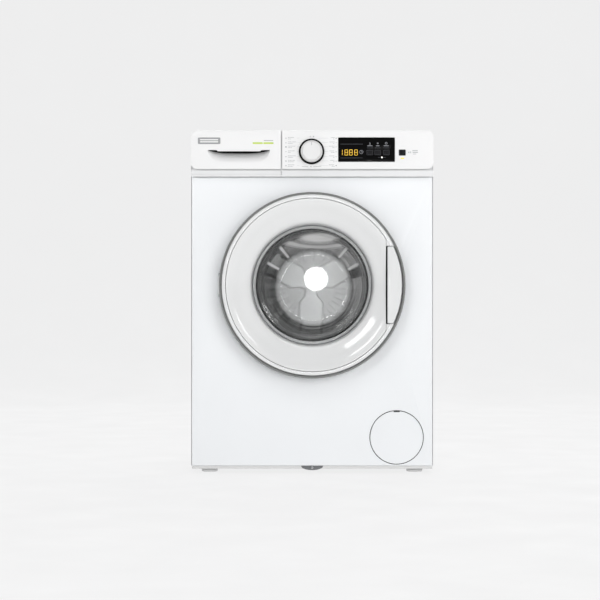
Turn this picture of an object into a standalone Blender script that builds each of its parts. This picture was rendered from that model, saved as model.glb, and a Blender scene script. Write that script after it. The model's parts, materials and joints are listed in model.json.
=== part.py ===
"""Front load washing machine, 600 mm class, as separate pieces that come apart on a bench.

The frame is in metres with +Z up. The door faces -Y and +X is to the right seen from the front.
The origin is on the floor under the middle of the machine. Dimensions here are in millimetres,
and the shape functions turn them into metres. Radii and heights share their centre unless a
name says otherwise.
"""

import math

import bmesh
import bpy
from mathutils import Vector

MM = 0.001
GAP = 0.5

# Overall sizes.
WIDTH = 597.0
HEIGHT = 845.0
HALF_WIDTH = WIDTH / 2
SHEET = 1.0
FLOOR_GAP = 10.0
DOOR_FRONT_Y = -263.5
REAR_END_Y = 263.5
PANEL_Y = -226.0
CONTROL_Y = -240.0
REAR_Y = 251.0
CABINET_BOTTOM = 18.0
WORKTOP_BOTTOM = 829.0
STRIP_BOTTOM = 730.8
STRIP_TOP = 735.8

# Door, porthole and their shared axis with the drum.
AXIS_Z = 464.0
RIM_RADIUS = 230.5
RIM_INNER = 222.5
RING_OUTER = 213.9
RING_INNER = 147.0
GLASS_RADIUS = 148.0
PANEL_HOLE_RADIUS = 158.0
RING_STEPS = 40
DRUM_STEPS = 36
HINGE_X = -228.0
HINGE_Y = -246.0
LUG_RADIUS = 3.0
LUG_HEIGHT = 26.0
HANDLE_LEFT = 184.5
HANDLE_HALF = 97.0
HANDLE_RADIUS = 219.7
HANDLE_PIVOT_X = 208.0
HANDLE_PIVOT_Y = -254.0
HOOK_X = 199.0
HOOK_Y = -236.0

# Tub, drum and drive.
TUB_RADIUS = 262.0
TUB_WALL = 5.0
DRUM_RADIUS = 240.0
DRUM_WALL = 1.5
DRUM_FRONT_Y = -140.0
DRUM_BACK_Y = 144.0
TUB_NECK_RADIUS = 172.0
BELT_LOW_Y = 219.0
BELT_HIGH_Y = 231.0
DRUM_PULLEY_RADIUS = 140.0
MOTOR_PULLEY_RADIUS = 14.0
MOTOR_X = 60.0
MOTOR_Z = 128.0
SPRING_X = 262.0
SPRING_Y = 78.0
SPRING_BOTTOM = 604.0
SPRING_TOP = 786.0
DAMPER_X = 190.0

# Controls and drawer.
KNOB_X = -1.5
KNOB_Z = 792.5
KNOB_RADIUS = 31.0
DISPLAY_X = 133.8
DISPLAY_Z = 797.2
DISPLAY_HALF = (70.0, 30.2)
OPTION_KEY_XS = (141.9, 161.4, 182.2)
OPTION_KEY_Z = 790.0
OPTION_KEY_HALF = (8.1, 6.3)
START_KEY_X = 221.7
START_KEY_Z = 790.0
START_KEY_HALF = (8.2, 7.2)
DRAWER_RIGHT = -75.8
DRAWER_BOTTOM = 737.0
POCKET_X = (-258.0, -102.0)
POCKET_Z = (767.0, 797.0)
TRAY_X = (-286.0, -88.0)
TRAY_Y = (-211.0, 25.0)
TRAY_Z = (753.0, 826.0)
TRAY_DIVIDERS = (-212.0, -162.0)
TRAY_WALL = 2.4

# Service openings and feet.
FILTER_X = 208.6
FILTER_Z = 87.6
FILTER_COVER_RADIUS = 65.5
FILTER_HINGE_Z = 28.0
FILTER_COVER_FRONT_Y = PANEL_Y - 1.5
FOOT_XS = (-255.0, 255.0)
FOOT_YS = (-185.0, 215.0)
FOOT_RADIUS = 20.0
STUD_RADIUS = 5.0

WHITE = ((0.86, 0.87, 0.88), 0.35, 0.0)
LIGHT_PLASTIC = ((0.82, 0.82, 0.82), 0.4, 0.0)
DARK_RIM = ((0.13, 0.135, 0.13), 0.35, 0.0)
BLACK = ((0.01, 0.01, 0.012), 0.15, 0.0)
GREY_PLASTIC = ((0.35, 0.36, 0.37), 0.5, 0.0)
ZINC_STEEL = ((0.55, 0.56, 0.57), 0.4, 1.0)
STAINLESS = ((0.62, 0.62, 0.6), 0.25, 1.0)
ALUMINIUM = ((0.6, 0.6, 0.6), 0.45, 1.0)
RUBBER = ((0.16, 0.165, 0.17), 0.8, 0.0)
BLACK_RUBBER = ((0.02, 0.02, 0.02), 0.85, 0.0)
CONCRETE = ((0.42, 0.41, 0.39), 0.95, 0.0)
GLASS_TINT = ((0.5, 0.53, 0.55), 0.05, 0.0)


# ---------------------------------------------------------------- shape tools

PLACE = {
    "X": lambda a, b, along: Vector((along, a, b)) * MM,
    "Y": lambda a, b, along: Vector((a, along, b)) * MM,
    "Z": lambda a, b, along: Vector((a, b, along)) * MM,
}


def prism(outline, axis, low, high):
    """A closed solid with this outline across the axis, from low to high along it."""
    bm = bmesh.new()
    place = PLACE[axis]
    face = bm.faces.new([bm.verts.new(place(a, b, low)) for a, b in outline])
    grown = bmesh.ops.extrude_face_region(bm, geom=[face])
    moved = [item for item in grown["geom"] if isinstance(item, bmesh.types.BMVert)]
    bmesh.ops.translate(bm, verts=moved, vec=place(0, 0, high - low))
    bmesh.ops.recalc_face_normals(bm, faces=bm.faces)
    return bm


def rectangle(low_a, high_a, low_b, high_b):
    return [(low_a, low_b), (high_a, low_b), (high_a, high_b), (low_a, high_b)]


def block(xs, ys, zs):
    return prism(rectangle(*xs, *ys), "Z", *zs)


def arc(centre, radius, start, end, steps):
    """Points on a circle from one angle to the other, in degrees, both ends included."""
    angles = [math.radians(start + (end - start) * i / steps) for i in range(steps + 1)]
    return [(centre[0] + radius * math.cos(t), centre[1] + radius * math.sin(t)) for t in angles]


def circle(centre, radius, steps):
    return arc(centre, radius, 0, 360 * (steps - 1) / steps, steps - 1)


def rounded_rectangle(low_a, high_a, low_b, high_b, radii, steps=4):
    """A rectangle with its own radius at each corner: low-low, high-low, high-high, low-high."""
    corners = [
        (low_a, low_b, 1, 1, 180),
        (high_a, low_b, -1, 1, 270),
        (high_a, high_b, -1, -1, 0),
        (low_a, high_b, 1, -1, 90),
    ]
    outline = []
    for (a, b, side_a, side_b, start), radius in zip(corners, radii):
        if radius:
            centre = (a + side_a * radius, b + side_b * radius)
            outline += arc(centre, radius, start, start + 90, steps)
        else:
            outline.append((a, b))
    return outline


def turned(profile, centre, axis="Y", steps=DRUM_STEPS):
    """A solid of revolution. The profile is (radius, along) points round a closed section,
    or from the axis back to the axis when its ends have radius 0."""
    bm = bmesh.new()
    place = PLACE[axis]
    verts = [bm.verts.new(place(centre[0] + r, centre[1], along)) for r, along in profile]
    pairs = list(zip(verts, verts[1:]))
    if profile[0][0] or profile[-1][0]:
        pairs.append((verts[-1], verts[0]))
    edges = [bm.edges.new(pair) for pair in pairs]
    direction = place(0, 0, 1).normalized()
    pivot = place(centre[0], centre[1], 0)
    bmesh.ops.spin(
        bm, geom=verts + edges, cent=pivot, axis=direction, angle=math.tau, steps=steps, use_merge=True
    )
    bmesh.ops.remove_doubles(bm, verts=bm.verts, dist=0.001 * MM)
    bmesh.ops.recalc_face_normals(bm, faces=bm.faces)
    return bm


def rod(centre, radius, axis, low, high, steps=16):
    return prism(circle(centre, radius, steps), axis, low, high)


def tube(centre, outer, inner, axis, low, high, steps=16):
    return turned([(inner, low), (outer, low), (outer, high), (inner, high)], centre, axis, steps)


def scratch_object(bm):
    mesh = bpy.data.meshes.new("scratch")
    bm.to_mesh(mesh)
    bm.free()
    obj = bpy.data.objects.new("scratch", mesh)
    bpy.context.scene.collection.objects.link(obj)
    return obj


def boolean(base, tools, operation):
    """Cuts the tools from the base, or joins them to it, and gives the result as a new bmesh."""
    body = scratch_object(base)
    cutters = [scratch_object(tool) for tool in tools]
    for cutter in cutters:
        cutter.hide_render = True
        cutter.display_type = "WIRE"
        modifier = body.modifiers.new("boolean", "BOOLEAN")
        modifier.operation = operation
        modifier.object = cutter
    bpy.context.view_layer.update()
    graph = bpy.context.evaluated_depsgraph_get()
    result = bmesh.new()
    result.from_mesh(body.evaluated_get(graph).to_mesh())
    for obj in [body, *cutters]:
        mesh = obj.data
        bpy.data.objects.remove(obj)
        bpy.data.meshes.remove(mesh)
    return result


def cut(base, *tools):
    return boolean(base, tools, "DIFFERENCE")


def join(base, *tools):
    return boolean(base, tools, "UNION")


def material(name, look):
    colour, roughness, metallic = look
    made = bpy.data.materials.new(name + "_material")
    made.use_nodes = True
    shader = made.node_tree.nodes["Principled BSDF"]
    shader.inputs["Base Color"].default_value = (*colour, 1)
    shader.inputs["Roughness"].default_value = roughness
    shader.inputs["Metallic"].default_value = metallic
    return made


def body_empty(name, x=0.0, y=0.0, z=0.0):
    """An empty on a moving body's joint axis. Its pieces are its children."""
    empty = bpy.data.objects.new(name, None)
    empty.location = Vector((x, y, z)) * MM
    bpy.context.scene.collection.objects.link(empty)
    return empty


def piece(name, bm, look, parent=None, smooth_angle=35):
    """Puts a finished shape in the scene as one named object under its body's empty."""
    mesh = bpy.data.meshes.new(name)
    bm.to_mesh(mesh)
    bm.free()
    mesh.shade_smooth()
    mesh.set_sharp_from_angle(angle=math.radians(smooth_angle))
    mesh.materials.append(material(name, look))
    obj = bpy.data.objects.new(name, mesh)
    bpy.context.scene.collection.objects.link(obj)
    if parent:
        obj.parent = parent
        obj.location = -parent.location
    return obj


# ---------------------------------------------------------------- cabinet


def side_panel(name, side):
    """A folded side sheet with front and rear flanges and a tab that a suspension spring hangs on."""
    outer = side * (HALF_WIDTH - 0.2)
    inner = side * (HALF_WIDTH - 0.2 - SHEET)
    lip = side * (HALF_WIDTH - 10)
    front, back = PANEL_Y + SHEET + GAP, REAR_Y - SHEET - GAP
    outline = [
        (outer, front), (outer, back), (lip, back), (lip, back - SHEET),
        (inner, back - SHEET), (inner, front + SHEET), (lip, front + SHEET), (lip, front),
    ]
    sheet = prism(outline, "Z", CABINET_BOTTOM, WORKTOP_BOTTOM - GAP)
    tab_xs = sorted((side * (SPRING_X - 16), side * (HALF_WIDTH - 0.6)))
    tab = block(tab_xs, (SPRING_Y - 14, SPRING_Y + 14), (SPRING_TOP + GAP, SPRING_TOP + 4))
    piece(name, join(sheet, tab), WHITE)


def front_panel():
    """The front sheet with the door mouth, the latch and hinge slots and the filter opening."""
    sheet = block((-HALF_WIDTH, HALF_WIDTH), (PANEL_Y, PANEL_Y + SHEET), (18, STRIP_BOTTOM - GAP))
    ys = (PANEL_Y - 2, PANEL_Y + 4)
    mouth = prism(circle((0, AXIS_Z), PANEL_HOLE_RADIUS, DRUM_STEPS), "Y", *ys)
    recess = prism(circle((FILTER_X, FILTER_Z), FILTER_COVER_RADIUS + 0.7, 32), "Y", *ys)
    latch_slot = block((185, 219), ys, (AXIS_Z - 10, AXIS_Z + 10))
    lug_slots = [block((HINGE_X - 4, HINGE_X + 4), ys, lug_zs(side, 1)) for side in (-1, 1)]
    piece("front_panel", cut(sheet, mouth, recess, latch_slot, *lug_slots), WHITE)


def rear_panel():
    """The rear sheet with the access hole and the holes for the water, drain and mains fittings."""
    sheet = block(
        (-HALF_WIDTH + 0.5, HALF_WIDTH - 0.5), (REAR_Y - SHEET, REAR_Y),
        (CABINET_BOTTOM, WORKTOP_BOTTOM - GAP),
    )
    ys = (REAR_Y - 4, REAR_Y + 4)
    access = prism(rounded_rectangle(-150, 150, 100, 615, [60, 60, 140, 140]), "Y", *ys)
    inlet = prism(circle((-210, 790), 15, 16), "Y", *ys)
    drain = prism(circle((225, 780), 14, 16), "Y", *ys)
    mains = prism(circle((225, 700), 9, 16), "Y", *ys)
    piece("rear_panel", cut(sheet, access, inlet, drain, mains), ZINC_STEEL)


def rear_access_cover():
    """A shallow pressed cover over the belt drive."""
    outline = rounded_rectangle(-165, 165, 85, 630, [70, 70, 150, 150])
    inner = rounded_rectangle(-145, 145, 105, 610, [55, 55, 135, 135])
    pan = prism(outline, "Y", REAR_Y + GAP, REAR_Y + 8)
    hollow = prism(inner, "Y", REAR_Y - 2, REAR_Y + 6.8)
    piece("rear_access_cover", cut(pan, hollow), ZINC_STEEL)


def worktop():
    """The lid board, its side edges rounded."""
    profile = rounded_rectangle(
        -HALF_WIDTH, HALF_WIDTH, WORKTOP_BOTTOM, HEIGHT, [0, 0, 14, 14], steps=5
    )
    piece("worktop", prism(profile, "Y", PANEL_Y, REAR_Y), WHITE)


def front_crossbar():
    """The channel that ties the side panels together under the controls."""
    y, z = PANEL_Y + 2 * SHEET + 2 * GAP, STRIP_BOTTOM + 0.7
    outline = [
        (y, z), (y + 24, z), (y + 24, z + 1.5), (y + 1.5, z + 1.5),
        (y + 1.5, z + 12.5), (y + 24, z + 12.5), (y + 24, z + 14), (y, z + 14),
    ]
    piece("front_crossbar", prism(outline, "X", -HALF_WIDTH + 2, HALF_WIDTH - 2), ZINC_STEEL)


def base_frame():
    """The floor tray with its rim, the foot bosses and the round tab in front."""
    low_y, high_y = PANEL_Y + 12, REAR_Y - 3.5
    half = HALF_WIDTH - 2
    tray = block((-half, half), (low_y, high_y), (FLOOR_GAP, 30))
    hollow = block((-half + 4, half - 4), (low_y + 4, high_y - 4), (FLOOR_GAP + 3, 32))
    lip = block((-half, half), (PANEL_Y + 0.5, low_y + 1), (FLOOR_GAP, 17.5))
    centre_lip = prism(arc((0, 17.2), 27, 180, 360, 12)[1:-1] + [(27, 17.2), (-27, 17.2)],
                       "Y", PANEL_Y - 1.5, PANEL_Y + 1.5)
    floor_cut = block((-40, 40), (PANEL_Y - 4, PANEL_Y + 4), (-20, 5.5))
    front_tab = cut(centre_lip, floor_cut)
    bosses = [block((x - 16, x + 16), (y - 16, y + 16), (FLOOR_GAP + 1, 28))
              for x in FOOT_XS for y in FOOT_YS]
    holes = [prism(circle((x, y), STUD_RADIUS + 0.6, 12), "Z", 0, 60) for x in FOOT_XS for y in FOOT_YS]
    frame = join(cut(tray, hollow), lip, front_tab, *bosses)
    piece("base_frame", cut(frame, *holes), GREY_PLASTIC)


def foot(name, x, y):
    """A screw foot: a pad on a threaded stud. It screws down out of the base."""
    empty = body_empty(name + "_travel", x, y, 0)
    profile = [
        (0, 0), (FOOT_RADIUS - 2, 0), (FOOT_RADIUS, 2), (FOOT_RADIUS, 7), (12, 9.5),
        (STUD_RADIUS, 9.5), (STUD_RADIUS, 44), (0, 44),
    ]
    piece(name, turned(profile, (x, y), "Z", 16), LIGHT_PLASTIC, empty)


def control_panel():
    """The moulded control fascia: an L beside and below the drawer, hollow behind."""
    outline = [(-HALF_WIDTH, STRIP_BOTTOM), (HALF_WIDTH, STRIP_BOTTOM)]
    outline += arc((HALF_WIDTH - 15, HEIGHT - 15), 15, 0, 90, 4)
    outline += [(DRAWER_RIGHT + 1, HEIGHT), (DRAWER_RIGHT + 1, STRIP_TOP), (-HALF_WIDTH, STRIP_TOP)]
    shell = prism(outline, "Y", CONTROL_Y, PANEL_Y - GAP)
    ys = (CONTROL_Y + 3, PANEL_Y + 2)
    upper = block((DRAWER_RIGHT + 4, HALF_WIDTH - 3), ys, (STRIP_BOTTOM + 3, HEIGHT - 14))
    through = (CONTROL_Y - 5, PANEL_Y + 5)
    half_x, half_z = DISPLAY_HALF
    window = block((DISPLAY_X - half_x, DISPLAY_X + half_x), through,
                   (DISPLAY_Z - half_z, DISPLAY_Z + half_z))
    knob_hole = prism(circle((KNOB_X, KNOB_Z), 6, 16), "Y", *through)
    start_hole = key_hole(START_KEY_X, START_KEY_Z, START_KEY_HALF, through)
    piece("control_panel", cut(shell, upper, window, knob_hole, start_hole), WHITE)


def key_hole(x, z, half, ys):
    clear = 0.4
    return block((x - half[0] - clear, x + half[0] + clear), ys, (z - half[1] - clear, z + half[1] + clear))


def display_window():
    """The dark glass over the display, with an opening for each option key."""
    half_x, half_z = (half - 0.4 for half in DISPLAY_HALF)
    glass = prism(
        rounded_rectangle(DISPLAY_X - half_x, DISPLAY_X + half_x, DISPLAY_Z - half_z,
                          DISPLAY_Z + half_z, [2] * 4, steps=2),
        "Y", CONTROL_Y - 0.6, CONTROL_Y + 2.4,
    )
    holes = [key_hole(x, OPTION_KEY_Z, OPTION_KEY_HALF, (CONTROL_Y - 5, CONTROL_Y + 5))
             for x in OPTION_KEY_XS]
    piece("display_window", cut(glass, *holes), BLACK)


def key(name, x, z, half):
    """A short push key. It travels into the panel."""
    empty = body_empty(name + "_travel", x, CONTROL_Y, z)
    outline = rounded_rectangle(x - half[0], x + half[0], z - half[1], z + half[1], [1.5] * 4, steps=2)
    piece(name, prism(outline, "Y", CONTROL_Y - 1.2, CONTROL_Y + 7), BLACK, empty)


def control_board():
    """The boxed electronics behind the display."""
    outline = rounded_rectangle(40, 288, 756, 824, [6] * 4, steps=2)
    piece("control_board", prism(outline, "Y", PANEL_Y + 4, PANEL_Y + 34), GREY_PLASTIC)


def drawer_housing():
    """The open-fronted box that the detergent drawer slides in."""
    y_low, y_high = PANEL_Y + 3, 60
    grow = 3.0
    outer = block((TRAY_X[0] - 2 * grow, TRAY_X[1] + 2 * grow), (y_low, y_high),
                  (TRAY_Z[0] - 5, TRAY_Z[1] + 2.5))
    inner = block((TRAY_X[0] - grow, TRAY_X[1] + grow), (y_low - 5, y_high - 3),
                  (TRAY_Z[0] - 2, TRAY_Z[1] + 1))
    piece("drawer_housing", cut(outer, inner), LIGHT_PLASTIC)


def inlet_valve():
    """The water valve body with its threaded stub through the rear panel."""
    body = block((-232, -188), (205, 246), (772, 808))
    stub = rod((-210, 790), 13.2, "Y", 240, REAR_END_Y)
    bore = prism(circle((-210, 790), 9, 12), "Y", 250, REAR_END_Y + 5)
    piece("inlet_valve", cut(join(body, stub), bore), GREY_PLASTIC)


def drain_outlet():
    """The stub that the drain hose pushes onto."""
    flange = rod((225, 780), 20, "Y", 240, 249)
    stub = rod((225, 780), 12.5, "Y", 245, REAR_END_Y)
    bore = prism(circle((225, 780), 9, 12), "Y", 236, REAR_END_Y + 5)
    piece("drain_outlet", cut(join(flange, stub), bore), GREY_PLASTIC)


def cable_gland():
    """The gland for the mains lead."""
    piece("cable_gland", tube((225, 700), 8.4, 4.5, "Y", 243, 257), BLACK_RUBBER)


def lug_zs(side, clear=0.0):
    """Height span of the upper or lower hinge lug."""
    middle = AXIS_Z + side * LUG_HEIGHT
    return (middle - 2.5 - clear, middle + 2.5 + clear)


def hinge_bracket():
    """The steel bracket behind the front panel, its two lugs and the hinge pin between them."""
    back = PANEL_Y + SHEET + GAP
    plate = block((HINGE_X - 34, HINGE_X + 12), (back, back + 2), (AXIS_Z - 45, AXIS_Z + 45))
    lugs = []
    for side in (-1, 1):
        lugs.append(block((HINGE_X - 2.8, HINGE_X + 2.8), (HINGE_Y, back + 1), lug_zs(side)))
        lugs.append(rod((HINGE_X, HINGE_Y), LUG_RADIUS, "Z", *lug_zs(side)))
    pin = rod((HINGE_X, HINGE_Y), 2, "Z", AXIS_Z - LUG_HEIGHT - 2, AXIS_Z + LUG_HEIGHT + 2, 12)
    piece("hinge_bracket", join(plate, *lugs, pin), ZINC_STEEL)


def door_lock():
    """The lock case behind the latch slot, open towards the hook."""
    case = block((181, 233), (PANEL_Y + 2, PANEL_Y + 36), (AXIS_Z - 38, AXIS_Z + 38))
    mouth = block((185, 219), (PANEL_Y, PANEL_Y + 28), (AXIS_Z - 10, AXIS_Z + 10))
    piece("door_lock", cut(case, mouth), GREY_PLASTIC)


def door_gasket():
    """The rubber bellows between the front panel and the tub's neck."""
    profile = [
        (168, -224.4), (152, -224.4), (152, -190), (160, -181), (152, -172),
        (152, -162.8), (172.6, -162.8), (172.6, -154), (175.6, -154), (175.6, -166),
        (156, -166), (164, -181), (156, -196), (156, -221.4), (168, -221.4),
    ]
    piece("door_gasket", turned(profile, (0, AXIS_Z)), RUBBER)


def drain_pump():
    """The drain pump: a filter barrel facing forward with the pump motor behind it."""
    barrel = [
        (29, -212), (35, -212), (35, -86), (27, -82), (27, -32), (0, -32), (0, -96), (29, -96),
    ]
    foot_block = block((FILTER_X - 30, FILTER_X + 30), (-190, -90), (14, FILTER_Z - 28))
    piece("drain_pump", join(turned(barrel, (FILTER_X, FILTER_Z), steps=24), foot_block), GREY_PLASTIC)


def damper_cylinder(name, side):
    """The lower half of a friction damper, standing on the base."""
    centre = (side * DAMPER_X, 0)
    profile = [(0, 14), (22, 14), (22, 20), (16, 24), (16, 175), (8, 175), (8, 60), (0, 60)]
    piece(name, turned(profile, centre, "Z", 16), GREY_PLASTIC)


# ---------------------------------------------------------------- tub, drum and drive


def tub_front_half(parent):
    """The front bowl of the tub with the neck that the gasket grips."""
    r = TUB_RADIUS
    profile = [
        (r - TUB_WALL, -0.5), (r, -0.5), (r, -145), (r - 8, -152), (TUB_NECK_RADIUS, -152),
        (TUB_NECK_RADIUS, -162), (166, -162), (166, -146), (r - 10, -146), (r - TUB_WALL, -142),
    ]
    piece("tub_front_half", turned(profile, (0, AXIS_Z)), LIGHT_PLASTIC, parent)


def tub_rear_half(parent):
    """The rear bowl of the tub with the bearing hub, the heater slot and the spring ears."""
    r = TUB_RADIUS
    profile = [
        (r - TUB_WALL, 0.5), (r, 0.5), (r, 160), (r - 12, 174), (42, 174), (38, 218),
        (31.4, 218), (31.4, 180), (18, 180), (18, 168), (r - 15, 168), (r - TUB_WALL, 157),
    ]
    ears = [
        block(sorted((side * 205, side * (SPRING_X + 12))), (SPRING_Y - 10, SPRING_Y + 10),
              (SPRING_BOTTOM - 12, SPRING_BOTTOM - GAP))
        for side in (-1, 1)
    ]
    hollow = turned([(0, 40), (r - TUB_WALL + 1, 40), (r - TUB_WALL + 1, 120), (0, 120)], (0, AXIS_Z))
    ears = cut(join(*ears), hollow)
    heater_slot = block((-33.6, 33.6), (140, 190), (210.8, 219.2))
    bowl = join(turned(profile, (0, AXIS_Z)), ears)
    piece("tub_rear_half", cut(bowl, heater_slot), LIGHT_PLASTIC, parent)


def counterweight(name, parent, start, end, radii, ys):
    """A cast concrete block, part of a ring round the tub's axis."""
    steps = 8
    outline = arc((0, AXIS_Z), radii[1], start, end, steps) + arc((0, AXIS_Z), radii[0], end, start, steps)
    piece(name, prism(outline, "Y", *ys), CONCRETE, parent)


def heater_element(parent):
    """The tubular heater low in the tub, bent into a U, on its flange at the back."""
    flange = block((-33, 33), (150, 184), (211.3, 218.7))
    legs = join(
        block((-28, -20), (-90, 152), (211.5, 217.5)),
        block((20, 28), (-90, 152), (211.5, 217.5)),
        block((-28, 28), (-98, -89), (211.5, 217.5)),
    )
    piece("heater_element", join(flange, legs), STAINLESS, parent)


def motor_body(parent):
    """The motor case under the tub, open at the shaft end, with its mounting lug."""
    profile = [(0, 40), (50, 40), (55, 46), (55, 196), (48, 206), (9, 206), (9, 90), (0, 90)]
    lug = block((MOTOR_X + 1, MOTOR_X + 13), (70, 170), (MOTOR_Z + 50, 208))
    piece("motor_body", join(turned(profile, (MOTOR_X, MOTOR_Z), steps=20), lug), ALUMINIUM, parent)


def motor_rotor(parent):
    """The motor shaft with the small belt pulley on its end."""
    profile = [
        (0, 96), (7, 96), (7, BELT_LOW_Y), (MOTOR_PULLEY_RADIUS, BELT_LOW_Y),
        (MOTOR_PULLEY_RADIUS, BELT_HIGH_Y), (0, BELT_HIGH_Y),
    ]
    piece("motor_rotor", turned(profile, (MOTOR_X, MOTOR_Z), steps=20), STAINLESS, parent)


def belt_outline(large, small):
    """The loop round two pulleys: two arcs and the straight runs that touch both circles."""
    run = math.hypot(MOTOR_X, AXIS_Z - MOTOR_Z)
    toward = math.degrees(math.atan2(MOTOR_Z - AXIS_Z, MOTOR_X))
    spread = math.degrees(math.acos((large - small) / run))
    upper = arc((0, AXIS_Z), large, toward + spread, toward + 360 - spread, 28)
    lower = arc((MOTOR_X, MOTOR_Z), small, toward - spread, toward + spread, 8)
    return upper + lower


def drive_belt(parent):
    """The flat ribbed belt from the motor pulley to the drum pulley."""
    clear, thick = 0.8, 3.0
    ys = (BELT_LOW_Y + 2, BELT_HIGH_Y - 2)
    large, small = DRUM_PULLEY_RADIUS + clear, MOTOR_PULLEY_RADIUS + clear
    outer = prism(belt_outline(large + thick, small + thick), "Y", *ys)
    inner = prism(belt_outline(large, small), "Y", ys[0] - 5, ys[1] + 5)
    piece("drive_belt", cut(outer, inner), BLACK_RUBBER, parent)


def bearing(name, parent, low_y):
    piece(name, tube((0, AXIS_Z), 31, 15.4, "Y", low_y, low_y + 15, 20), STAINLESS, parent)


def damper_rod(name, side, parent):
    """The upper half of a friction damper, hung under the tub."""
    piece(name, rod((side * DAMPER_X, 0), 6, "Z", 100, 276, 12), ZINC_STEEL, parent)


def suspension_spring(name, side, parent):
    """A suspension spring, drawn as the ribbed sleeve that its coils fill."""
    turns, wire, radius = 6, 5, 12.5
    pitch = (SPRING_TOP - SPRING_BOTTOM) / turns
    profile = [(radius - 4, SPRING_BOTTOM)]
    for turn in range(turns):
        start = SPRING_BOTTOM + turn * pitch
        profile += [(radius - wire / 2, start), (radius + wire / 2, start + pitch / 2)]
    profile += [(radius - wire / 2, SPRING_TOP), (radius - 4, SPRING_TOP)]
    piece(name, turned(profile, (side * SPRING_X, SPRING_Y), "Z", 10), ZINC_STEEL, parent)


def drum_shell(parent):
    """The stainless drum: a thin can with a rolled mouth and a back wall."""
    r, t = DRUM_RADIUS, DRUM_WALL
    profile = [
        (158, DRUM_FRONT_Y), (r - 4, DRUM_FRONT_Y - 1.5), (r, DRUM_FRONT_Y + 3), (r, DRUM_BACK_Y - 4),
        (r - 4, DRUM_BACK_Y), (22, DRUM_BACK_Y), (22, DRUM_BACK_Y - t), (r - 4.6, DRUM_BACK_Y - t),
        (r - t, DRUM_BACK_Y - 4.6), (r - t, DRUM_FRONT_Y + 3.6), (r - 4.6, DRUM_FRONT_Y),
        (158, DRUM_FRONT_Y + t),
    ]
    piece("drum_shell", turned(profile, (0, AXIS_Z)), STAINLESS, parent)


def lifter(name, angle, parent):
    """A hollow-backed vane that lifts the laundry: a rounded ridge along the drum."""
    base, height, half_angle = DRUM_RADIUS - DRUM_WALL - 1.6, 52, 8.0
    outline = arc((0, 0), base, -half_angle, half_angle, 4)
    outline += [(base - height * 0.55, 17)]
    outline += arc((base - height + 9, 0), 9, 60, 300, 6)
    outline += [(base - height * 0.55, -17)]
    turn = math.radians(angle)
    outline = [
        (a * math.cos(turn) - b * math.sin(turn), AXIS_Z + a * math.sin(turn) + b * math.cos(turn))
        for a, b in outline
    ]
    piece(name, prism(outline, "Y", DRUM_FRONT_Y + 22, DRUM_BACK_Y - 14), LIGHT_PLASTIC, parent)


def drum_spider(parent):
    """The cast three-armed cross behind the drum with its steel shaft."""
    arms = []
    for index in range(3):
        turn = math.radians(90 + 120 * index)
        side = (-math.sin(turn), math.cos(turn))
        tip = (math.cos(turn) * 228, math.sin(turn) * 228)
        outline = [
            (side[0] * 20, AXIS_Z + side[1] * 20),
            (-side[0] * 20, AXIS_Z - side[1] * 20),
            (tip[0] - side[0] * 11, AXIS_Z + tip[1] - side[1] * 11),
            (tip[0] + side[0] * 11, AXIS_Z + tip[1] + side[1] * 11),
        ]
        arms.append(prism(outline, "Y", DRUM_BACK_Y + GAP, DRUM_BACK_Y + 18))
    hub = turned(
        [(0, DRUM_BACK_Y + GAP), (34, DRUM_BACK_Y + GAP), (34, 165), (15, 165), (15, BELT_HIGH_Y + 2),
         (0, BELT_HIGH_Y + 2)],
        (0, AXIS_Z), steps=20,
    )
    piece("drum_spider", join(hub, *arms), ALUMINIUM, parent)


def drum_pulley(parent):
    """The large belt pulley, its web lightened by five round holes."""
    r = DRUM_PULLEY_RADIUS
    profile = [
        (15.4, BELT_LOW_Y), (28, BELT_LOW_Y), (30, 223), (r - 12, 223), (r - 10, BELT_LOW_Y),
        (r, BELT_LOW_Y), (r, BELT_HIGH_Y), (r - 10, BELT_HIGH_Y), (r - 12, 227), (30, 227),
        (28, BELT_HIGH_Y), (15.4, BELT_HIGH_Y),
    ]
    holes = []
    for index in range(5):
        turn = math.radians(72 * index + 18)
        centre = (78 * math.cos(turn), AXIS_Z + 78 * math.sin(turn))
        holes.append(prism(circle(centre, 29, 10), "Y", 210, 240))
    piece("drum_pulley", cut(turned(profile, (0, AXIS_Z), steps=24), *holes), ALUMINIUM, parent)


# ---------------------------------------------------------------- door


def handle_recess(ys, clear):
    """The space that the handle lies in, from its left edge out to the rim."""
    return block((HANDLE_LEFT - clear, RIM_RADIUS), ys,
                 (AXIS_Z - HANDLE_HALF - clear, AXIS_Z + HANDLE_HALF + clear))


def door_rim(parent):
    """The dark trim round the door's edge, notched behind its front for the hinge lugs."""
    profile = [
        (RIM_RADIUS, -231), (RIM_RADIUS, -254), (229.2, -258.2), (226.2, -261.2), (RIM_INNER, -262.5),
        (RIM_INNER, -259.5), (226, -258), (227.3, -254), (227.3, -231),
    ]
    ring = turned(profile, (0, AXIS_Z), steps=RING_STEPS)
    notch = block((-240, HINGE_X + 9), (HINGE_Y - 6, -220), (AXIS_Z - 31, AXIS_Z + 31))
    piece("door_rim", cut(ring, notch), DARK_RIM, parent)


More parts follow.
